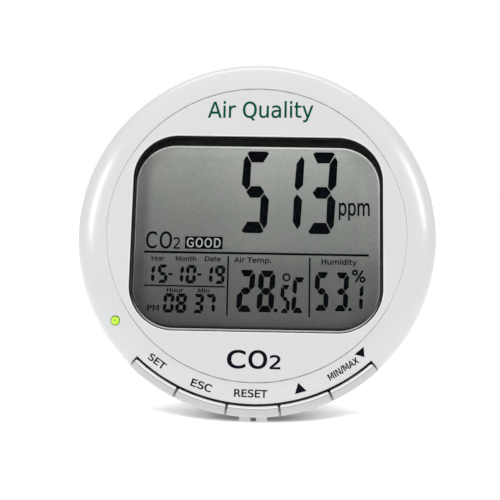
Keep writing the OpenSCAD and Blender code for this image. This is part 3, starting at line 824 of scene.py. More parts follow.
# outlines of plain sans-serif letters: (advance, contours), cap height 373
GLYPHS = {
    " ": (163, []),
    ".": (163, [[(55, 64), (108, 64), (108, 0), (55, 0)]]),
    "/": (172, [[(130, 373), (172, 373), (42, -48), (0, -48)]]),
    "2": (326, [[(98, 42), (274, 42), (274, 0), (38, 0), (38, 42), (53, 59), (71, 77), (92, 99), (116, 122), (138, 145), (156, 164), (170, 178), (178, 187), (193, 204), (204, 220), (212, 233), (219, 252), (222, 270), (219, 289), (212, 305), (201, 319), (186, 329), (167, 335), (146, 338), (130, 337), (114, 334), (96, 329), (78, 323), (60, 314), (40, 304), (40, 355), (60, 363), (79, 369), (97, 374), (122, 378), (146, 380), (173, 378), (198, 373), (219, 364), (238, 351), (253, 335), (264, 317), (270, 297), (272, 274), (270, 251), (264, 230), (257, 215), (246, 199), (232, 181), (225, 173), (212, 159), (193, 139), (174, 120), (152, 98), (127, 72)]]),
    "A": (350, [[(175, 324), (106, 138), (244, 138)], [(146, 373), (204, 373), (346, 0), (294, 0), (260, 96), (91, 96), (57, 0), (4, 0)]]),
    "C": (358, [[(330, 344), (330, 291), (312, 306), (294, 318), (275, 327), (256, 333), (235, 337), (214, 338), (184, 336), (158, 329), (135, 316), (116, 299), (101, 278), (90, 252), (84, 221), (82, 186), (84, 152), (90, 121), (101, 95), (116, 73), (135, 56), (158, 44), (184, 37), (214, 34), (235, 36), (256, 39), (275, 46), (294, 55), (312, 67), (330, 82), (330, 29), (312, 18), (293, 9), (274, 2), (254, -3), (233, -6), (211, -7), (171, -4), (135, 6), (104, 22), (78, 45), (56, 73), (41, 106), (32, 144), (29, 186), (32, 229), (41, 267), (56, 300), (78, 328), (104, 351), (135, 367), (171, 377), (211, 380), (233, 379), (254, 376), (274, 371), (293, 364), (312, 355)]]),
    "D": (394, [[(101, 332), (101, 42), (162, 42), (198, 44), (229, 50), (254, 61), (275, 76), (291, 97), (302, 122), (309, 152), (311, 187), (309, 222), (302, 252), (291, 277), (275, 297), (254, 312), (229, 323), (198, 330), (162, 332)], [(50, 373), (154, 373), (205, 370), (248, 362), (284, 348), (313, 328), (335, 302), (351, 270), (361, 232), (364, 187), (361, 142), (351, 103), (335, 71), (313, 45), (284, 25), (248, 11), (204, 3), (154, 0), (50, 0)]]),
    "E": (324, [[(50, 373), (286, 373), (286, 331), (101, 331), (101, 220), (278, 220), (278, 178), (101, 178), (101, 42), (291, 42), (291, 0), (50, 0)]]),
    "G": (397, [[(305, 53), (305, 154), (222, 154), (222, 195), (355, 195), (355, 35), (335, 22), (313, 12), (290, 3), (266, -3), (241, -6), (215, -7), (174, -4), (137, 6), (105, 22), (78, 44), (57, 72), (41, 105), (32, 143), (29, 186), (32, 229), (41, 268), (57, 301), (78, 329), (105, 351), (137, 367), (174, 377), (215, 380), (239, 379), (262, 376), (284, 371), (306, 364), (326, 355), (345, 344), (345, 291), (326, 305), (306, 317), (286, 326), (264, 333), (242, 337), (219, 338), (187, 336), (159, 329), (136, 317), (116, 300), (101, 279), (91, 253), (84, 222), (82, 186), (84, 151), (91, 120), (101, 94), (116, 72), (136, 56), (159, 44), (187, 37), (219, 34), (245, 35), (267, 39), (287, 45)]]),
    "H": (385, [[(50, 373), (101, 373), (101, 220), (284, 220), (284, 373), (335, 373), (335, 0), (284, 0), (284, 178), (101, 178), (101, 0), (50, 0)]]),
    "I": (151, [[(50, 373), (101, 373), (101, 0), (50, 0)]]),
    "M": (442, [[(50, 373), (126, 373), (221, 119), (316, 373), (392, 373), (392, 0), (342, 0), (342, 328), (246, 72), (196, 72), (99, 328), (99, 0), (50, 0)]]),
    "N": (383, [[(50, 373), (118, 373), (284, 61), (284, 373), (333, 373), (333, 0), (265, 0), (99, 312), (99, 0), (50, 0)]]),
    "O": (403, [[(202, 339), (176, 336), (152, 329), (132, 316), (114, 298), (100, 276), (90, 250), (84, 220), (82, 186), (84, 153), (90, 123), (100, 97), (114, 75), (132, 57), (152, 44), (176, 36), (202, 34), (228, 36), (251, 44), (271, 57), (289, 75), (303, 97), (313, 123), (319, 153), (321, 186), (319, 220), (313, 250), (303, 276), (289, 298), (271, 316), (251, 329), (228, 336)], [(202, 380), (239, 377), (272, 367), (302, 350), (327, 327), (348, 299), (362, 266), (371, 228), (374, 186), (371, 144), (362, 107), (348, 74), (327, 45), (302, 22), (272, 6), (239, -4), (202, -7), (164, -4), (131, 6), (101, 22), (76, 45), (55, 74), (41, 107), (32, 144), (29, 186), (32, 228), (41, 266), (55, 299), (76, 327), (101, 350), (131, 367), (164, 377)]]),
    "P": (309, [[(101, 332), (101, 192), (164, 192), (186, 194), (204, 200), (219, 210), (229, 224), (236, 241), (238, 262), (236, 282), (229, 300), (219, 314), (204, 324), (186, 330), (164, 332)], [(50, 373), (164, 373), (194, 371), (219, 366), (241, 357), (259, 345), (273, 329), (283, 310), (289, 287), (291, 262), (289, 236), (283, 213), (273, 194), (259, 178), (241, 166), (219, 157), (194, 152), (164, 150), (101, 150), (101, 0), (50, 0)]]),
    "Q": (403, [[(202, 339), (176, 336), (152, 329), (132, 316), (114, 298), (100, 276), (90, 250), (84, 220), (82, 186), (84, 153), (90, 123), (100, 97), (114, 75), (132, 57), (152, 44), (176, 36), (202, 34), (228, 36), (251, 44), (271, 57), (289, 75), (303, 97), (313, 123), (319, 153), (321, 186), (319, 220), (313, 250), (303, 276), (289, 298), (271, 316), (251, 329), (228, 336)], [(272, 7), (339, -66), (278, -66), (223, -6), (215, -7), (210, -7), (206, -7), (202, -7), (164, -4), (131, 6), (101, 22), (76, 45), (55, 74), (41, 107), (32, 144), (29, 186), (32, 228), (41, 266), (55, 299), (76, 327), (101, 350), (131, 367), (164, 377), (202, 380), (239, 377), (272, 367), (302, 350), (327, 327), (348, 299), (362, 266), (371, 228), (374, 186), (373, 155), (368, 126), (360, 99), (348, 75), (334, 53), (316, 35), (296, 19)]]),
    "R": (356, [[(227, 175), (238, 170), (249, 162), (259, 152), (269, 138), (279, 122), (290, 102), (341, 0), (287, 0), (239, 96), (227, 118), (215, 135), (203, 146), (190, 152), (174, 156), (156, 158), (101, 158), (101, 0), (50, 0), (50, 373), (164, 373), (194, 372), (220, 367), (242, 358), (260, 346), (274, 331), (283, 313), (289, 291), (291, 266), (289, 244), (284, 224), (275, 207), (262, 193), (246, 183)], [(101, 332), (101, 199), (164, 199), (187, 201), (205, 207), (219, 216), (230, 229), (236, 246), (238, 266), (236, 286), (230, 302), (219, 315), (205, 324), (187, 330), (164, 332)]]),
    "S": (325, [[(274, 361), (274, 312), (255, 320), (237, 327), (220, 332), (203, 336), (187, 338), (170, 339), (145, 337), (124, 332), (107, 323), (94, 311), (87, 296), (84, 278), (88, 256), (99, 240), (112, 232), (131, 225), (156, 220), (186, 214), (213, 207), (235, 199), (254, 188), (270, 176), (285, 156), (294, 131), (296, 103), (294, 78), (287, 55), (276, 36), (260, 21), (240, 8), (215, 0), (187, -6), (154, -7), (135, -7), (117, -5), (97, -1), (77, 3), (56, 9), (35, 16), (35, 68), (56, 58), (76, 49), (96, 42), (115, 38), (134, 35), (154, 34), (180, 36), (202, 41), (220, 51), (233, 64), (241, 80), (244, 99), (242, 116), (236, 131), (227, 142), (213, 152), (195, 159), (172, 166), (141, 172), (114, 178), (92, 186), (74, 196), (59, 207), (45, 225), (37, 247), (34, 274), (36, 297), (42, 318), (53, 336), (69, 352), (88, 364), (110, 373), (136, 378), (165, 380), (182, 379), (200, 378), (218, 375), (237, 372), (255, 367)]]),
    "T": (313, [[(-2, 373), (314, 373), (314, 331), (182, 331), (182, 0), (131, 0), (131, 331), (-2, 331)]]),
    "X": (351, [[(32, 373), (86, 373), (179, 234), (272, 373), (327, 373), (207, 194), (335, 0), (280, 0), (176, 159), (70, 0), (15, 0), (148, 199)]]),
    "Y": (313, [[(-1, 373), (53, 373), (157, 220), (260, 373), (314, 373), (182, 178), (182, 0), (131, 0), (131, 178)]]),
    "a": (314, [[(176, 141), (142, 139), (116, 135), (98, 128), (86, 118), (79, 103), (77, 84), (79, 69), (84, 56), (93, 46), (105, 38), (120, 33), (137, 31), (161, 34), (181, 43), (198, 58), (211, 78), (219, 102), (221, 130), (221, 141)], [(267, 160), (267, 0), (221, 0), (221, 42), (210, 27), (197, 14), (182, 5), (165, -2), (146, -6), (124, -7), (98, -5), (75, 3), (56, 17), (42, 35), (34, 56), (31, 82), (34, 110), (45, 134), (62, 153), (80, 163), (102, 171), (127, 175), (157, 177), (221, 177), (221, 181), (219, 201), (212, 217), (200, 230), (185, 240), (165, 246), (142, 248), (118, 246), (95, 242), (80, 238), (65, 232), (51, 225), (51, 267), (68, 273), (84, 278), (100, 282), (124, 286), (146, 287), (175, 285), (200, 279), (220, 269), (237, 255), (250, 237), (260, 216), (265, 190)]]),
    "d": (325, [[(232, 238), (232, 389), (278, 389), (278, 0), (232, 0), (232, 42), (222, 27), (210, 14), (196, 5), (180, -2), (162, -6), (143, -7), (119, -5), (97, 3), (77, 16), (60, 33), (46, 55), (36, 80), (30, 108), (28, 140), (30, 171), (36, 199), (46, 224), (60, 246), (77, 264), (97, 277), (119, 284), (143, 287), (162, 285), (180, 281), (196, 275), (210, 265), (222, 253)], [(76, 140), (78, 108), (85, 82), (97, 60), (112, 44), (131, 34), (154, 31), (177, 34), (196, 44), (212, 60), (223, 82), (230, 108), (232, 140), (230, 171), (223, 198), (212, 219), (196, 235), (177, 245), (154, 248), (131, 245), (112, 235), (97, 219), (85, 198), (78, 171)]]),
    "e": (315, [[(288, 152), (288, 129), (76, 129), (81, 100), (90, 76), (105, 57), (124, 43), (148, 35), (176, 32), (194, 32), (211, 35), (228, 38), (244, 43), (261, 50), (277, 58), (277, 14), (260, 8), (243, 2), (226, -2), (209, -5), (191, -7), (174, -7), (142, -5), (113, 2), (89, 15), (67, 32), (50, 53), (38, 78), (31, 106), (28, 137), (31, 170), (38, 199), (49, 224), (65, 246), (86, 264), (109, 277), (136, 284), (166, 287), (192, 284), (216, 278), (237, 266), (255, 250), (269, 231), (280, 207), (286, 181)], [(242, 165), (239, 188), (232, 209), (221, 225), (205, 238), (187, 245), (166, 248), (142, 245), (122, 238), (104, 226), (91, 210), (82, 189), (78, 165)]]),
    "h": (324, [[(281, 169), (281, 0), (235, 0), (235, 168), (233, 192), (228, 212), (220, 227), (207, 238), (192, 245), (173, 247), (150, 244), (130, 236), (114, 223), (102, 205), (95, 184), (93, 158), (93, 0), (46, 0), (46, 389), (93, 389), (93, 236), (104, 252), (117, 264), (132, 274), (147, 281), (165, 285), (183, 287), (213, 283), (237, 273), (256, 257), (267, 240), (275, 220), (279, 196)]]),
    "i": (142, [[(48, 280), (94, 280), (94, 0), (48, 0)], [(48, 389), (94, 389), (94, 331), (48, 331)]]),
    "l": (142, [[(48, 389), (94, 389), (94, 0), (48, 0)]]),
    "m": (499, [[(266, 226), (279, 245), (292, 260), (308, 272), (324, 280), (343, 285), (364, 287), (391, 283), (413, 273), (432, 256), (442, 239), (449, 219), (454, 196), (455, 169), (455, 0), (409, 0), (409, 168), (407, 192), (403, 212), (395, 227), (384, 238), (369, 245), (351, 247), (329, 244), (310, 236), (295, 223), (283, 205), (276, 184), (274, 158), (274, 0), (228, 0), (228, 168), (226, 192), (221, 212), (214, 227), (202, 238), (188, 245), (170, 247), (148, 244), (129, 236), (114, 223), (102, 205), (95, 184), (93, 158), (93, 0), (46, 0), (46, 280), (93, 280), (93, 236), (104, 252), (117, 265), (130, 274), (146, 281), (164, 285), (183, 287), (202, 285), (219, 280), (235, 271), (248, 259), (258, 244)]]),
    "n": (324, [[(281, 169), (281, 0), (235, 0), (235, 168), (233, 192), (228, 212), (220, 227), (207, 238), (192, 245), (173, 247), (150, 244), (130, 236), (114, 223), (102, 205), (95, 184), (93, 158), (93, 0), (46, 0), (46, 280), (93, 280), (93, 236), (104, 252), (117, 264), (132, 274), (147, 281), (165, 285), (183, 287), (213, 283), (237, 273), (256, 257), (267, 240), (275, 220), (279, 196)]]),
    "o": (313, [[(157, 248), (134, 245), (114, 235), (98, 219), (86, 197), (79, 171), (77, 140), (79, 109), (86, 82), (98, 61), (114, 45), (134, 35), (157, 32), (180, 35), (199, 45), (215, 61), (227, 82), (234, 109), (236, 140), (234, 171), (227, 197), (215, 219), (199, 235), (180, 245)], [(157, 287), (185, 284), (210, 277), (232, 265), (251, 248), (266, 226), (277, 201), (283, 172), (285, 140), (283, 107), (277, 78), (266, 53), (251, 32), (232, 15), (210, 3), (185, -5), (157, -7), (128, -5), (103, 3), (81, 15), (62, 32), (47, 53), (37, 78), (30, 107), (28, 140), (30, 172), (37, 201), (47, 226), (62, 248), (81, 265), (103, 277), (128, 284)]]),
    "p": (325, [[(93, 42), (93, -106), (46, -106), (46, 280), (93, 280), (93, 238), (103, 253), (115, 265), (129, 275), (145, 281), (163, 285), (182, 287), (207, 284), (228, 277), (248, 264), (265, 246), (279, 224), (289, 199), (295, 171), (297, 140), (295, 108), (289, 80), (279, 55), (265, 33), (248, 16), (228, 3), (207, -5), (182, -7), (163, -6), (145, -2), (129, 5), (115, 14), (103, 27)], [(249, 140), (247, 171), (240, 198), (228, 219), (213, 235), (194, 245), (171, 248), (148, 245), (129, 235), (114, 219), (102, 198), (95, 171), (93, 140), (95, 108), (102, 82), (114, 60), (129, 44), (148, 34), (171, 31), (194, 34), (213, 44), (228, 60), (240, 82), (247, 108)]]),
    "r": (210, [[(210, 237), (202, 241), (194, 244), (184, 245), (174, 246), (150, 243), (130, 234), (114, 220), (102, 201), (95, 177), (93, 148), (93, 0), (46, 0), (46, 280), (93, 280), (93, 236), (103, 252), (116, 265), (130, 274), (147, 281), (166, 285), (187, 287), (192, 287), (198, 286), (204, 285), (210, 284)]]),
    "t": (201, [[(94, 360), (94, 280), (188, 280), (188, 244), (94, 244), (94, 92), (96, 64), (103, 48), (117, 41), (141, 38), (188, 38), (188, 0), (141, 0), (109, 2), (85, 9), (68, 20), (57, 37), (50, 61), (48, 92), (48, 244), (14, 244), (14, 280), (48, 280), (48, 360)]]),
    "u": (324, [[(44, 110), (44, 280), (90, 280), (90, 112), (91, 88), (96, 68), (105, 53), (117, 42), (133, 35), (152, 33), (175, 35), (194, 43), (210, 56), (222, 74), (230, 96), (232, 121), (232, 280), (278, 280), (278, 0), (232, 0), (232, 43), (220, 27), (207, 15), (193, 5), (178, -2), (160, -6), (142, -7), (112, -4), (88, 6), (68, 23), (58, 39), (50, 60), (45, 83)], []]),
    "y": (303, [[(165, -26), (152, -55), (139, -77), (127, -91), (113, -100), (97, -105), (77, -106), (40, -106), (40, -68), (68, -68), (84, -66), (97, -59), (104, -50), (112, -36), (120, -16), (128, 4), (15, 280), (64, 280), (152, 61), (239, 280), (288, 280)]]),
}


def heavier(c_, d):
    """moves an outline's corners outwards by d, into the holes for the inner ones"""
    out = []
    k = len(c_)
    for i in range(k):
        p0, p1, p2 = Vector(c_[i - 1]), Vector(c_[i]), Vector(c_[(i + 1) % k])
        e1, e2 = (p1 - p0).normalized(), (p2 - p1).normalized()
        n1, n2 = Vector((-e1.y, e1.x)), Vector((-e2.y, e2.x))
        b_ = n1 + n2
        b_ = b_ / max(0.7, b_.dot(n1)) if b_.length > 1e-6 else n1
        out.append((p1.x + b_.x * d, p1.y + b_.y * d))
    return out


def text_mesh(name, body_text, z0_, z1_, fit, spacing=1.0, where=None, weight=0.0):
    """flat letters fitted to the box (x0, y0, x1, y1); `where` maps a flat point to the case's frame"""
    dg = bpy.context.evaluated_depsgraph_get()
    whole = bmesh.new()
    pen = 0.0
    for ch_ in body_text:
        # each letter is filled on its own, so that neighbours may touch
        adv, contours = GLYPHS[ch_]
        if contours:
            cu = bpy.data.curves.new(name, "CURVE")
            cu.dimensions = "2D"
            cu.fill_mode = "BOTH"
            cu.extrude = 0.5
            for c_ in contours:
                if weight:
                    c_ = heavier(c_, weight)
                sp = cu.splines.new("POLY")
                sp.points.add(len(c_) - 1)
                for q_, (gx, gy) in zip(sp.points, c_):
                    q_.co = ((pen + gx) / 50, gy / 50, 0, 1)
                sp.use_cyclic_u = True
            ob = bpy.data.objects.new(name + "_c", cu)
            bpy.context.scene.collection.objects.link(ob)
            dg.update()
            part = bpy.data.meshes.new_from_object(ob.evaluated_get(dg))
            bpy.data.objects.remove(ob)
            whole.from_mesh(part)
            bpy.data.meshes.remove(part)
        pen += adv * spacing
    me = bpy.data.meshes.new(name)
    whole.to_mesh(me)
    whole.free()
    xs = [v.co.x for v in me.vertices]
    ys = [v.co.y for v in me.vertices]
    x0, x1, y0, y1 = min(xs), max(xs), min(ys), max(ys)
    fx0, fy0, fx1, fy1 = fit
    if where:
        # cut into short bands, so that the letters can follow the rim's curve
        bm = bmesh.new()
        bm.from_mesh(me)
        bmesh.ops.remove_doubles(bm, verts=bm.verts, dist=1e-5)
        nb = max(2, int((fy1 - fy0) / 0.5))
        for i in range(1, nb):
            bmesh.ops.bisect_plane(bm, geom=bm.verts[:] + bm.edges[:] + bm.faces[:], dist=1e-6, plane_co=(0, y0 + (y1 - y0) * i / nb, 0), plane_no=(0, 1, 0))
        nb = max(2, int((fx1 - fx0) / 1.2))
        for i in range(1, nb):
            bmesh.ops.bisect_plane(bm, geom=bm.verts[:] + bm.edges[:] + bm.faces[:], dist=1e-6, plane_co=(x0 + (x1 - x0) * i / nb, 0, 0), plane_no=(1, 0, 0))
        bmesh.ops.triangulate(bm, faces=bm.faces)
        bm.to_mesh(me)
        bm.free()
    vs = []
    for v in me.vertices:
        x = fx0 + (v.co.x - x0) / (x1 - x0) * (fx1 - fx0)
        y = fy0 + (v.co.y - y0) / (y1 - y0) * (fy1 - fy0)
        top_ = v.co.z > 0
        vs.append(where(x, y, top_) if where else (x, y, z1_ if top_ else z0_))
    fs = [tuple(p.vertices) for p in me.polygons]
    bpy.data.meshes.remove(me)
    return vs, fs


def add_text(soup, body_text, fit, z0_=ZS0, z1_=ZS1, spacing=1.0, where=None, weight=0.0):
    vs, fs = text_mesh("t", body_text, z0_, z1_, fit, spacing, where, weight)
    soup.add(vs, fs)


lt = Soup()
add_text(lt, "ppm", (29.6, 5.8, 40.8, 12.4), weight=9)
for t_, f_ in (("C", (-39.95, -5.75, -36.0, 0.62)), ("O", (-35.0, -5.75, -30.5, 0.68)), ("2", (-29.95, -5.72, -27.6, -1.45))):
    add_text(lt, t_, f_, weight=7)
add_text(lt, "Year", (-38.1, -10.2, -32.95, -8.35), weight=13)
add_text(lt, "Month", (-28.95, -10.2, -21.55, -8.32), weight=13)
add_text(lt, "Date", (-18.4, -10.15, -12.7, -8.3), weight=13)
add_text(lt, "Hour", (-31.7, -21.55, -25.75, -20.0), weight=13)
add_text(lt, "Min", (-20.5, -21.55, -16.4, -20.0), weight=13)
add_text(lt, "PM", (-38.5, -28.4, -34.3, -26.25), weight=13)
add_text(lt, "Air Temp.", (-7.9, -10.9, 5.5, -8.35), weight=13)
add_text(lt, "Humidity", (23.5, -11.1, 36.2, -8.5), weight=13)
# dark block behind the light word
lt.prism([(GB[0], GB[1]), (GB[2], GB[1]), (GB[2], GB[3]), (GB[0], GB[3])], ZS0, ZS1)
lcd_words = lt.make("lcd_words", smooth=False)

lw = Soup()
add_text(lw, "GOOD", (-25.1, -5.05, -12.9, -1.55), -4.962, -4.95, spacing=1.12, weight=8)
lcd_light = lw.make("lcd_light_word", smooth=False)


def segment_material():
    m, nt, b = new_mat("segment_black")
    v = coords(nt)
    n = noise(nt, v, 700.0)
    r = ramp(nt, n.outputs[0], [(0.3, (0.0015, 0.0018, 0.002)), (0.7, (0.003, 0.0038, 0.0055))])
    nt.links.new(r.outputs[0], b.inputs["Base Color"])
    b.inputs["Roughness"].default_value = 0.7
    b.inputs["Specular IOR Level"].default_value = 0.0
    return m


M["segment"] = segment_material()
M["light_word"] = plastic("light_word", (0.3, 0.315, 0.285), 0.5, 0.04, 1200, 0.00001, 0.1, 0.15)
dress(segments, "segment", "case")
dress(lcd_words, "segment", "case")
dress(lcd_light, "light_word", "case")


# printed legends on the face and on the rim
def polar(az_deg, r_base, up=0.022, down=-0.06):
    """flat letters laid along the rim: x runs along the tangent, y runs inwards from r_base"""
    a = math.radians(az_deg)
    def f(x, y, top_):
        cx, cy = math.sin(a) * r_base, -math.cos(a) * r_base
        px = cx + x * math.cos(a) - y * math.sin(a)
        py = cy + x * math.sin(a) + y * math.cos(a)
        rr2 = math.hypot(px, py)
        z = ring_z(rr2) if rr2 > 53.9 else 0.0
        return (px, py, z + (up if top_ else down))
    return f


pr = Soup()
add_text(pr, "SET", (-3.45, 0.0, 3.45, 2.6), where=polar(-35.75, 58.9), weight=14)
add_text(pr, "ESC", (-3.75, 0.0, 3.75, 2.75), where=polar(-18.15, 59.0), weight=14)
add_text(pr, "RESET", (-5.8, 0.0, 5.8, 2.75), where=polar(-0.75, 58.55), weight=14)
add_text(pr, "MIN/MAX", (-6.05, 0.0, 6.05, 2.55), where=polar(33.0, 58.65), weight=20)


def tri_on(az, r_base, half, y_wide, y_tip):
    """solid arrow, cut across into bands so that it follows the rim"""
    f = polar(az, r_base)
    nb, na = 8, 6
    rows = []
    for i in range(nb + 1):
        t = i / nb * 0.985
        y = y_wide + (y_tip - y_wide) * t
        w = half * (1 - t)
        rows.append([(-w + 2 * w * k / na, y) for k in range(na + 1)])
    lo_, hi_ = [[[f(x, y, top_) for x, y in r_] for r_ in rows] for top_ in (False, True)]
    loops_ = []
    ring = lambda g: [g[0][k] for k in range(na + 1)] + [g[i][na] for i in range(1, nb + 1)] + [g[nb][k] for k in range(na - 1, -1, -1)] + [g[i][0] for i in range(nb - 1, 0, -1)]
    idx = {}
    vs, fs = [], []
    for s_, g in ((0, lo_), (1, hi_)):
        for i in range(nb + 1):
            for k in range(na + 1):
                idx[(s_, i, k)] = len(vs)
                vs.append(g[i][k])
    for s_ in (0, 1):
        for i in range(nb):
            for k in range(na):
                fs.append((idx[(s_, i, k)], idx[(s_, i, k + 1)], idx[(s_, i + 1, k + 1)], idx[(s_, i + 1, k)]))
    edge = [(0, k) for k in range(na + 1)] + [(i, na) for i in range(1, nb + 1)] + [(nb, k) for k in range(na - 1, -1, -1)] + [(i, 0) for i in range(nb - 1, 0, -1)]
    for q in range(len(edge)):
        a_, b_ = edge[q], edge[(q + 1) % len(edge)]
        fs.append((idx[(0, *a_)], idx[(0, *b_)], idx[(1, *b_)], idx[(1, *a_)]))
    pr.add(vs, fs)


tri_on(16.35, 58.85, 2.1, 0.0, 3.45)
tri_on(41.35, 58.2, 2.1, 2.75, -0.15)
legends = pr.make("key_legends", smooth=False)
dress(legends, "ink", "case")

pf = Soup()
add_text(pf, "C", (-9.3, -48.75, -2.75, -42.2), -0.05, 0.02, weight=12)
add_text(pf, "O", (-1.85, -48.75, 4.75, -42.15), -0.05, 0.02, weight=12)
add_text(pf, "2", (5.6, -48.72, 9.35, -43.75), -0.05, 0.02, weight=12)
gas = pf.make("gas_symbol", smooth=False)
dress(gas, "ink", "case")

TITLE_FIT = (-18.6, 40.75, 19.9, 48.85)
pg = Soup()
add_text(pg, "Air Quality", TITLE_FIT, where=lambda x, y, top_: (x, y + 0.013 * (x - 0.7), 0.02 if top_ else -0.05), weight=6)
title = pg.make("title_words", smooth=False)
dress(title, "ink_green", "case")

# ------------------------------------------------------------------ status light

s = Soup()
rl = 1.6
prof = [(rl + 0.0, -7.0), (rl, -1.75)] + [(rl * math.cos(math.radians(a)), -1.75 + rl * 1.05 * math.sin(math.radians(a))) for a in range(8, 90, 8)]
rings = [[(LED[0] + r * math.cos(2 * math.pi * k / 40), LED[1] + r * math.sin(2 * math.pi * k / 40), z) for k in range(40)] for r, z in prof]
s.loops(rings, cap0=True, cap1=True)
led = s.make("led_dome", sharp=60)
dress(led, "led", "case", ["status_led"])

# ------------------------------------------------------------------ keys


def key_profile():
    p = [(61.5, -8.0)]
    p += [(61.5, -5.0), (61.5, -3.1)]
    p += arc(61.8, -3.1, 0.3, 180, 128, 4)[1:]
    p += [(62.42, -1.88)]
    p += arc(61.7, -4.8, 3.5, 70, 0, 14)
    p += [(65.2, -6.5), (65.2, -7.85)] + arc(64.85, -7.85, 0.35, 0, -90, 3)[1:]
    p += [(62.5, -8.2), (61.4, -8.2)]
    return p


def inset(p, d):
    """moves a closed outline inwards by d"""
    out = []
    k = len(p)
    area = sum(p[i][0] * p[(i + 1) % k][1] - p[(i + 1) % k][0] * p[i][1] for i in range(k))
    sg = 1 if area > 0 else -1
    for i in range(k):
        x0, y0 = p[i - 1]
        x1, y1 = p[i]
        x2, y2 = p[(i + 1) % k]
        e1 = Vector((x1 - x0, y1 - y0)).normalized()
        e2 = Vector((x2 - x1, y2 - y1)).normalized()
        n1 = Vector((-e1.y, e1.x)) * sg
        n2 = Vector((-e2.y, e2.x)) * sg
        b_ = (n1 + n2)
        b_ = b_ / max(0.5, b_.dot(n1)) if b_.length > 1e-6 else n1
        out.append((x1 + b_.x * d, y1 + b_.y * d))
    return out


prof = key_profile()
KH = 8.45 - math.degrees(0.40 / 63)
for name, az in zip(KEYS, KEY_AZ):
    s = Soup()
    er = 0.42
    rings = []
    stations = []
    for i in range(0, 6):
        t = math.radians(90 * i / 5)
        stations.append((er * (1 - math.sin(t)), er * (1 - math.cos(t))))   # (distance from the end, inset)
    ends = [(d_, ins) for d_, ins in [(er - er * math.cos(math.radians(90 * i / 5)), er - er * math.sin(math.radians(90 * i / 5))) for i in range(6)]]
    left = [(-KH + math.degrees(d_ / 63.2), ins) for d_, ins in ends]
    right = [(-a, ins) for a, ins in reversed(left)]
    a_in = left[-1][0]
    mids = [(a_in + (-2 * a_in) * i / 24, 0.0) for i in range(1, 24)]
    for a, ins in left + mids + right:
        ang = math.radians(az + a)
        pp = inset(prof, ins) if ins > 1e-4 else prof
        rings.append([(r * math.cos(ang), r * math.sin(ang), z) for r, z in pp])
    s.loops(rings, close_u=True, cap0=True, cap1=True)
    # skirt at both ends, sunk below the face, that closes the slit between neighbours
    sk = [(61.9, -4.4), (63.7, -4.4), (64.5, -5.6), (64.5, -7.9), (61.9, -7.9)]
    kw = KH + math.degrees(0.33 / 63)
    rows_ = []
    for i in range(25):
        ang = math.radians(az - kw + 2 * kw * i / 24)
        rows_.append([(r * math.cos(ang), r * math.sin(ang), z) for r, z in sk])
    s.loops(rows_, close_u=True, cap0=True, cap1=True, mi=3)
    # web and arm behind the rim
    ca, sa = math.cos(math.radians(az)), math.sin(math.radians(az))
    def loc(u, v, z):
        return (u * ca - v * sa, u * sa + v * ca, z)
    for (u0, u1, v0, v1, z0_, z1_) in ((52.1, 62.4, -3.0, 3.0, -10.4, -9.0), (61.3, 62.4, -3.0, 3.0, -9.1, -8.1)):
        vv = [loc(u, v, z) for z in (z0_, z1_) for v in (v0, v1) for u in (u0, u1)]
        s.add(vv, [(0, 1, 3, 2), (4, 6, 7, 5), (0, 4, 5, 1), (2, 3, 7, 6), (0, 2, 6, 4), (1, 5, 7, 3)])
    k_ob = s.make("keycap_" + name, sharp=38)
    for p_ in k_ob.data.polygons:
        # the sloping upper edge gets a lighter copy of the key plastic as a painted highlight, and the inner wall dark
        # grey as painted shade
        w_ = [k_ob.data.vertices[i].co - ORG for i in p_.vertices]
        rr_ = [math.hypot(q.x, q.y * SL + q.z * CL) * 1000 for q in w_]
        zz_ = [(-q.y * CL + q.z * SL) * 1000 for q in w_]
        if min(rr_) > 61.52 and max(rr_) < 62.6 and min(zz_) > -3.0:
            p_.material_index = 1
        elif max(rr_) < 61.56 and max(zz_) < -2.9:
            p_.material_index = 2
        elif p_.material_index == 0 and min(rr_) > 61.3 and max(zz_) > -8.5:
            # the end walls, past the rounding
            c_ = p_.center - ORG
            da_ = (math.degrees(math.atan2(c_.y * SL + c_.z * CL, c_.x)) - az + 180) % 360 - 180
            if abs(da_) > KH - math.degrees(0.1 / 63):
                p_.material_index = 3
    dress(k_ob, ["key", "key_edge", "gap", "slit"], name + "_button", [name + "_key"])

# ------------------------------------------------------------------ front feet

s = Soup()
# floor plane in the case's frame: y*CL + z*SL = -ORG.z
def floor_y(z):
    return (-ORG.z * 1000 - z * SL) / CL


for sx in (-1, 1):
    x0, x1 = (sx * 3 - 2, sx * 3 + 2)
    zf, zb = -12.6, -16.8
    def top_y(x):
        return -math.sqrt(R * R - x * x) + 0.15
    vs = [(x0, floor_y(zf), zf), (x1, floor_y(zf), zf), (x1, floor_y(zb), zb), (x0, floor_y(zb), zb),
          (x0, top_y(x0), zf), (x1, top_y(x1), zf), (x1, top_y(x1), zb), (x0, top_y(x0), zb)]
    s.add(vs, [(3, 2, 1, 0), (4, 5, 6, 7), (0, 1, 5, 4), (1, 2, 6, 5), (2, 3, 7, 6), (3, 0, 4, 7)])
feet = s.make("front_foot_pair", smooth=False)
bevelled(feet, 0.22, 3)
dress(feet, "feet", "case", ["front_feet"])

# ------------------------------------------------------------------ rear leg, with its edges rounded

def softened(node, name, width, segs, look, body, flat=0.6, angle=34):
    src = frame["nodes"][node]
    me = src.data.copy()
    me.name = name
    bm = bmesh.new()
    bm.from_mesh(me)
    bmesh.ops.remove_doubles(bm, verts=bm.verts, dist=2e-7)
    bmesh.ops.dissolve_limit(bm, angle_limit=math.radians(flat), verts=bm.verts, edges=bm.edges)
    bm.to_mesh(me)
    bm.free()
    ob = bpy.data.objects.new(name, me)
    ob.matrix_world = src.matrix_world.copy()
    bpy.context.scene.collection.objects.link(ob)
    bevelled(ob, width, segs, angle)
    dress(ob, look, body, [node])
    return ob


leg = softened("desk_stand", "rear_leg", 0.35, 3, "rear", "leg")

# ------------------------------------------------------------------ camera, floor and light


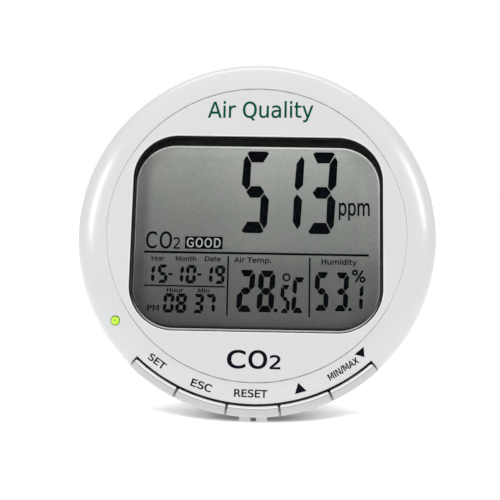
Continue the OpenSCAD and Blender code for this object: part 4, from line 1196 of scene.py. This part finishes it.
def dev_dir(v):
    return Vector((v[0], v[1] * SL - v[2] * CL, v[1] * CL + v[2] * SL)).normalized()


cam_data = bpy.data.cameras.new("camera")
cam = bpy.data.objects.new("camera", cam_data)
bpy.context.scene.collection.objects.link(cam)
fwd = dev_dir((-0.027176, 0.190274, -0.981355))
upv = dev_dir((-0.016903, 0.981489, 0.190769))
right_ = fwd.cross(upv).normalized()
upv = right_.cross(fwd).normalized()
rot = Matrix((right_, upv, -fwd)).transposed()
cam.matrix_world = Matrix.Translation(D(7.734, -75.527, 355.121)) @ rot.to_4x4()
cam_data.sensor_width = 36
cam_data.lens = 73.335
cam_data.clip_start = 0.01
cam_data.clip_end = 50
bpy.context.scene.camera = cam

# one wide floor, out to the horizon
fl = Soup()
W = 40.0
floor = build("floor_plane", [Vector((-W, -W, 0)), Vector((W, -W, 0)), Vector((W, W, 0)), Vector((-W, W, 0))], [(0, 1, 2, 3)], world=True, smooth=False)
fm_, nt, b = new_mat("floor_with_painted_glow")
v = coords(nt)
n_ = noise(nt, v, 6.0)
r_ = ramp(nt, n_.outputs[0], [(0.3, (0.965, 0.965, 0.965)), (0.7, (0.975, 0.975, 0.975))])
nt.links.new(r_.outputs[0], b.inputs["Base Color"])
b.inputs["Roughness"].default_value = 0.9
b.inputs["Specular IOR Level"].default_value = 0.0
b.inputs["Emission Color"].default_value = (1.0, 1.0, 1.0, 1.0)
# the floor glows though it is no lamp, as painted light and shade: least in the contact shadow under the case, a
# painted shadow, most just in front of it, a painted pool of light
pc = nt.nodes.new("ShaderNodeTexCoord")
pm = nt.nodes.new("ShaderNodeMapping")
pm.inputs["Location"].default_value = (0.0, 0.1 / 2.5, 0.0)
pm.inputs["Scale"].default_value = (1 / 0.035 / 2.5, 1 / 0.020 / 2.5, 0.0)
nt.links.new(pc.outputs["Object"], pm.inputs[0])
pl = nt.nodes.new("ShaderNodeVectorMath")
pl.operation = "LENGTH"
nt.links.new(pm.outputs[0], pl.inputs[0])
pr = ramp(nt, pl.outputs["Value"], [(0.375, (0.01, 0.01, 0.01)), (0.465, (0.62, 0.62, 0.62)), (0.62, (0.5, 0.5, 0.5)), (0.95, (0.24, 0.24, 0.24))])
pk = ramp(nt, pl.outputs["Value"], [(0.375, (0.01, 0.01, 0.01)), (0.60, (0.20, 0.20, 0.20)), (0.95, (0.24, 0.24, 0.24))])
py = nt.nodes.new("ShaderNodeSeparateXYZ")
nt.links.new(pc.outputs["Object"], py.inputs[0])
pf_ = nt.nodes.new("ShaderNodeMapRange")
pf_.interpolation_type = "SMOOTHSTEP"
pf_.inputs["From Min"].default_value = -0.002
pf_.inputs["From Max"].default_value = -0.015
nt.links.new(py.outputs[1], pf_.inputs["Value"])
px = nt.nodes.new("ShaderNodeMix")
px.data_type = "RGBA"
nt.links.new(pf_.outputs[0], px.inputs[0])
nt.links.new(pk.outputs[0], px.inputs[6])
nt.links.new(pr.outputs[0], px.inputs[7])
nt.links.new(px.outputs[2], b.inputs["Emission Strength"])
floor.data.materials.append(fm_)

world = bpy.data.worlds.new("studio")
bpy.context.scene.world = world
world.use_nodes = True
bg = world.node_tree.nodes["Background"]
# white all round, with a softer grey to either side behind the case, which draws its outline
wt = world.node_tree
wc = wt.nodes.new("ShaderNodeTexCoord")
ws = wt.nodes.new("ShaderNodeSeparateXYZ")
wt.links.new(wc.outputs["Generated"], ws.inputs[0])
wa = wt.nodes.new("ShaderNodeMath")
wa.operation = "ABSOLUTE"
wt.links.new(ws.outputs[0], wa.inputs[0])
side = wt.nodes.new("ShaderNodeValToRGB")
el = side.color_ramp.elements
for _ in range(3):
    el.new(0.5)
for e, (p_, v_) in zip(el, [(0.30, 1.0), (0.50, 0.72), (0.72, 0.72), (0.90, 0.82), (1.0, 0.88)]):
    e.position = p_
    e.color = (v_, v_, v_, 1)
wt.links.new(wa.outputs[0], side.inputs[0])
back = wt.nodes.new("ShaderNodeMapRange")
back.interpolation_type = "SMOOTHSTEP"
back.inputs["From Min"].default_value = -0.15
back.inputs["From Max"].default_value = 0.25
wt.links.new(ws.outputs[1], back.inputs["Value"])
mixw = wt.nodes.new("ShaderNodeMix")
mixw.data_type = "RGBA"
mixw.inputs[6].default_value = (0.96, 0.96, 0.96, 1)
wt.links.new(back.outputs[0], mixw.inputs[0])
wt.links.new(side.outputs[0], mixw.inputs[7])
# the backdrop itself stays plain white; the grey sides only light the case
lp = wt.nodes.new("ShaderNodeLightPath")
plain = wt.nodes.new("ShaderNodeMix")
plain.data_type = "RGBA"
plain.inputs[7].default_value = (1.0, 1.0, 1.0, 1)
wt.links.new(lp.outputs["Is Camera Ray"], plain.inputs[0])
wt.links.new(mixw.outputs[2], plain.inputs[6])
wt.links.new(plain.outputs[2], bg.inputs[0])
bg.inputs[1].default_value = 1.0


def area(name, loc, target, sx, sy, power, col=(1, 1, 1)):
    ld = bpy.data.lights.new(name, "AREA")
    ld.shape = "RECTANGLE"
    ld.size, ld.size_y = sx, sy
    ld.energy = power
    ld.color = col
    ob = bpy.data.objects.new(name, ld)
    bpy.context.scene.collection.objects.link(ob)
    ob.location = loc
    d = (Vector(target) - Vector(loc)).normalized()
    ob.rotation_euler = d.to_track_quat("-Z", "Y").to_euler()
    return ob


sun_data = bpy.data.lights.new("sky_light", "SUN")
sun_data.energy = 0.45
sun_data.angle = math.radians(75)
sun = bpy.data.objects.new("sky_light", sun_data)
bpy.context.scene.collection.objects.link(sun)
sun.rotation_euler = (math.radians(12), 0, 0)
area("top_box", (0.0, 0.2, 0.95), (0, 0, 0.1), 0.9, 0.22, 2.2)
area("right_strip", (0.625, -0.47, 0.55), (0, -0.02, 0.08), 0.06, 0.32, 1.4)
area("left_strip", (-0.605, -0.475, 0.47), (0, -0.02, 0.08), 0.06, 0.30, 1.35)

bpy.context.scene.view_settings.view_transform = "Standard"
bpy.context.scene.view_settings.look = "None"
bpy.context.scene.view_settings.exposure = 0.0
bpy.context.scene.view_settings.gamma = 1.0
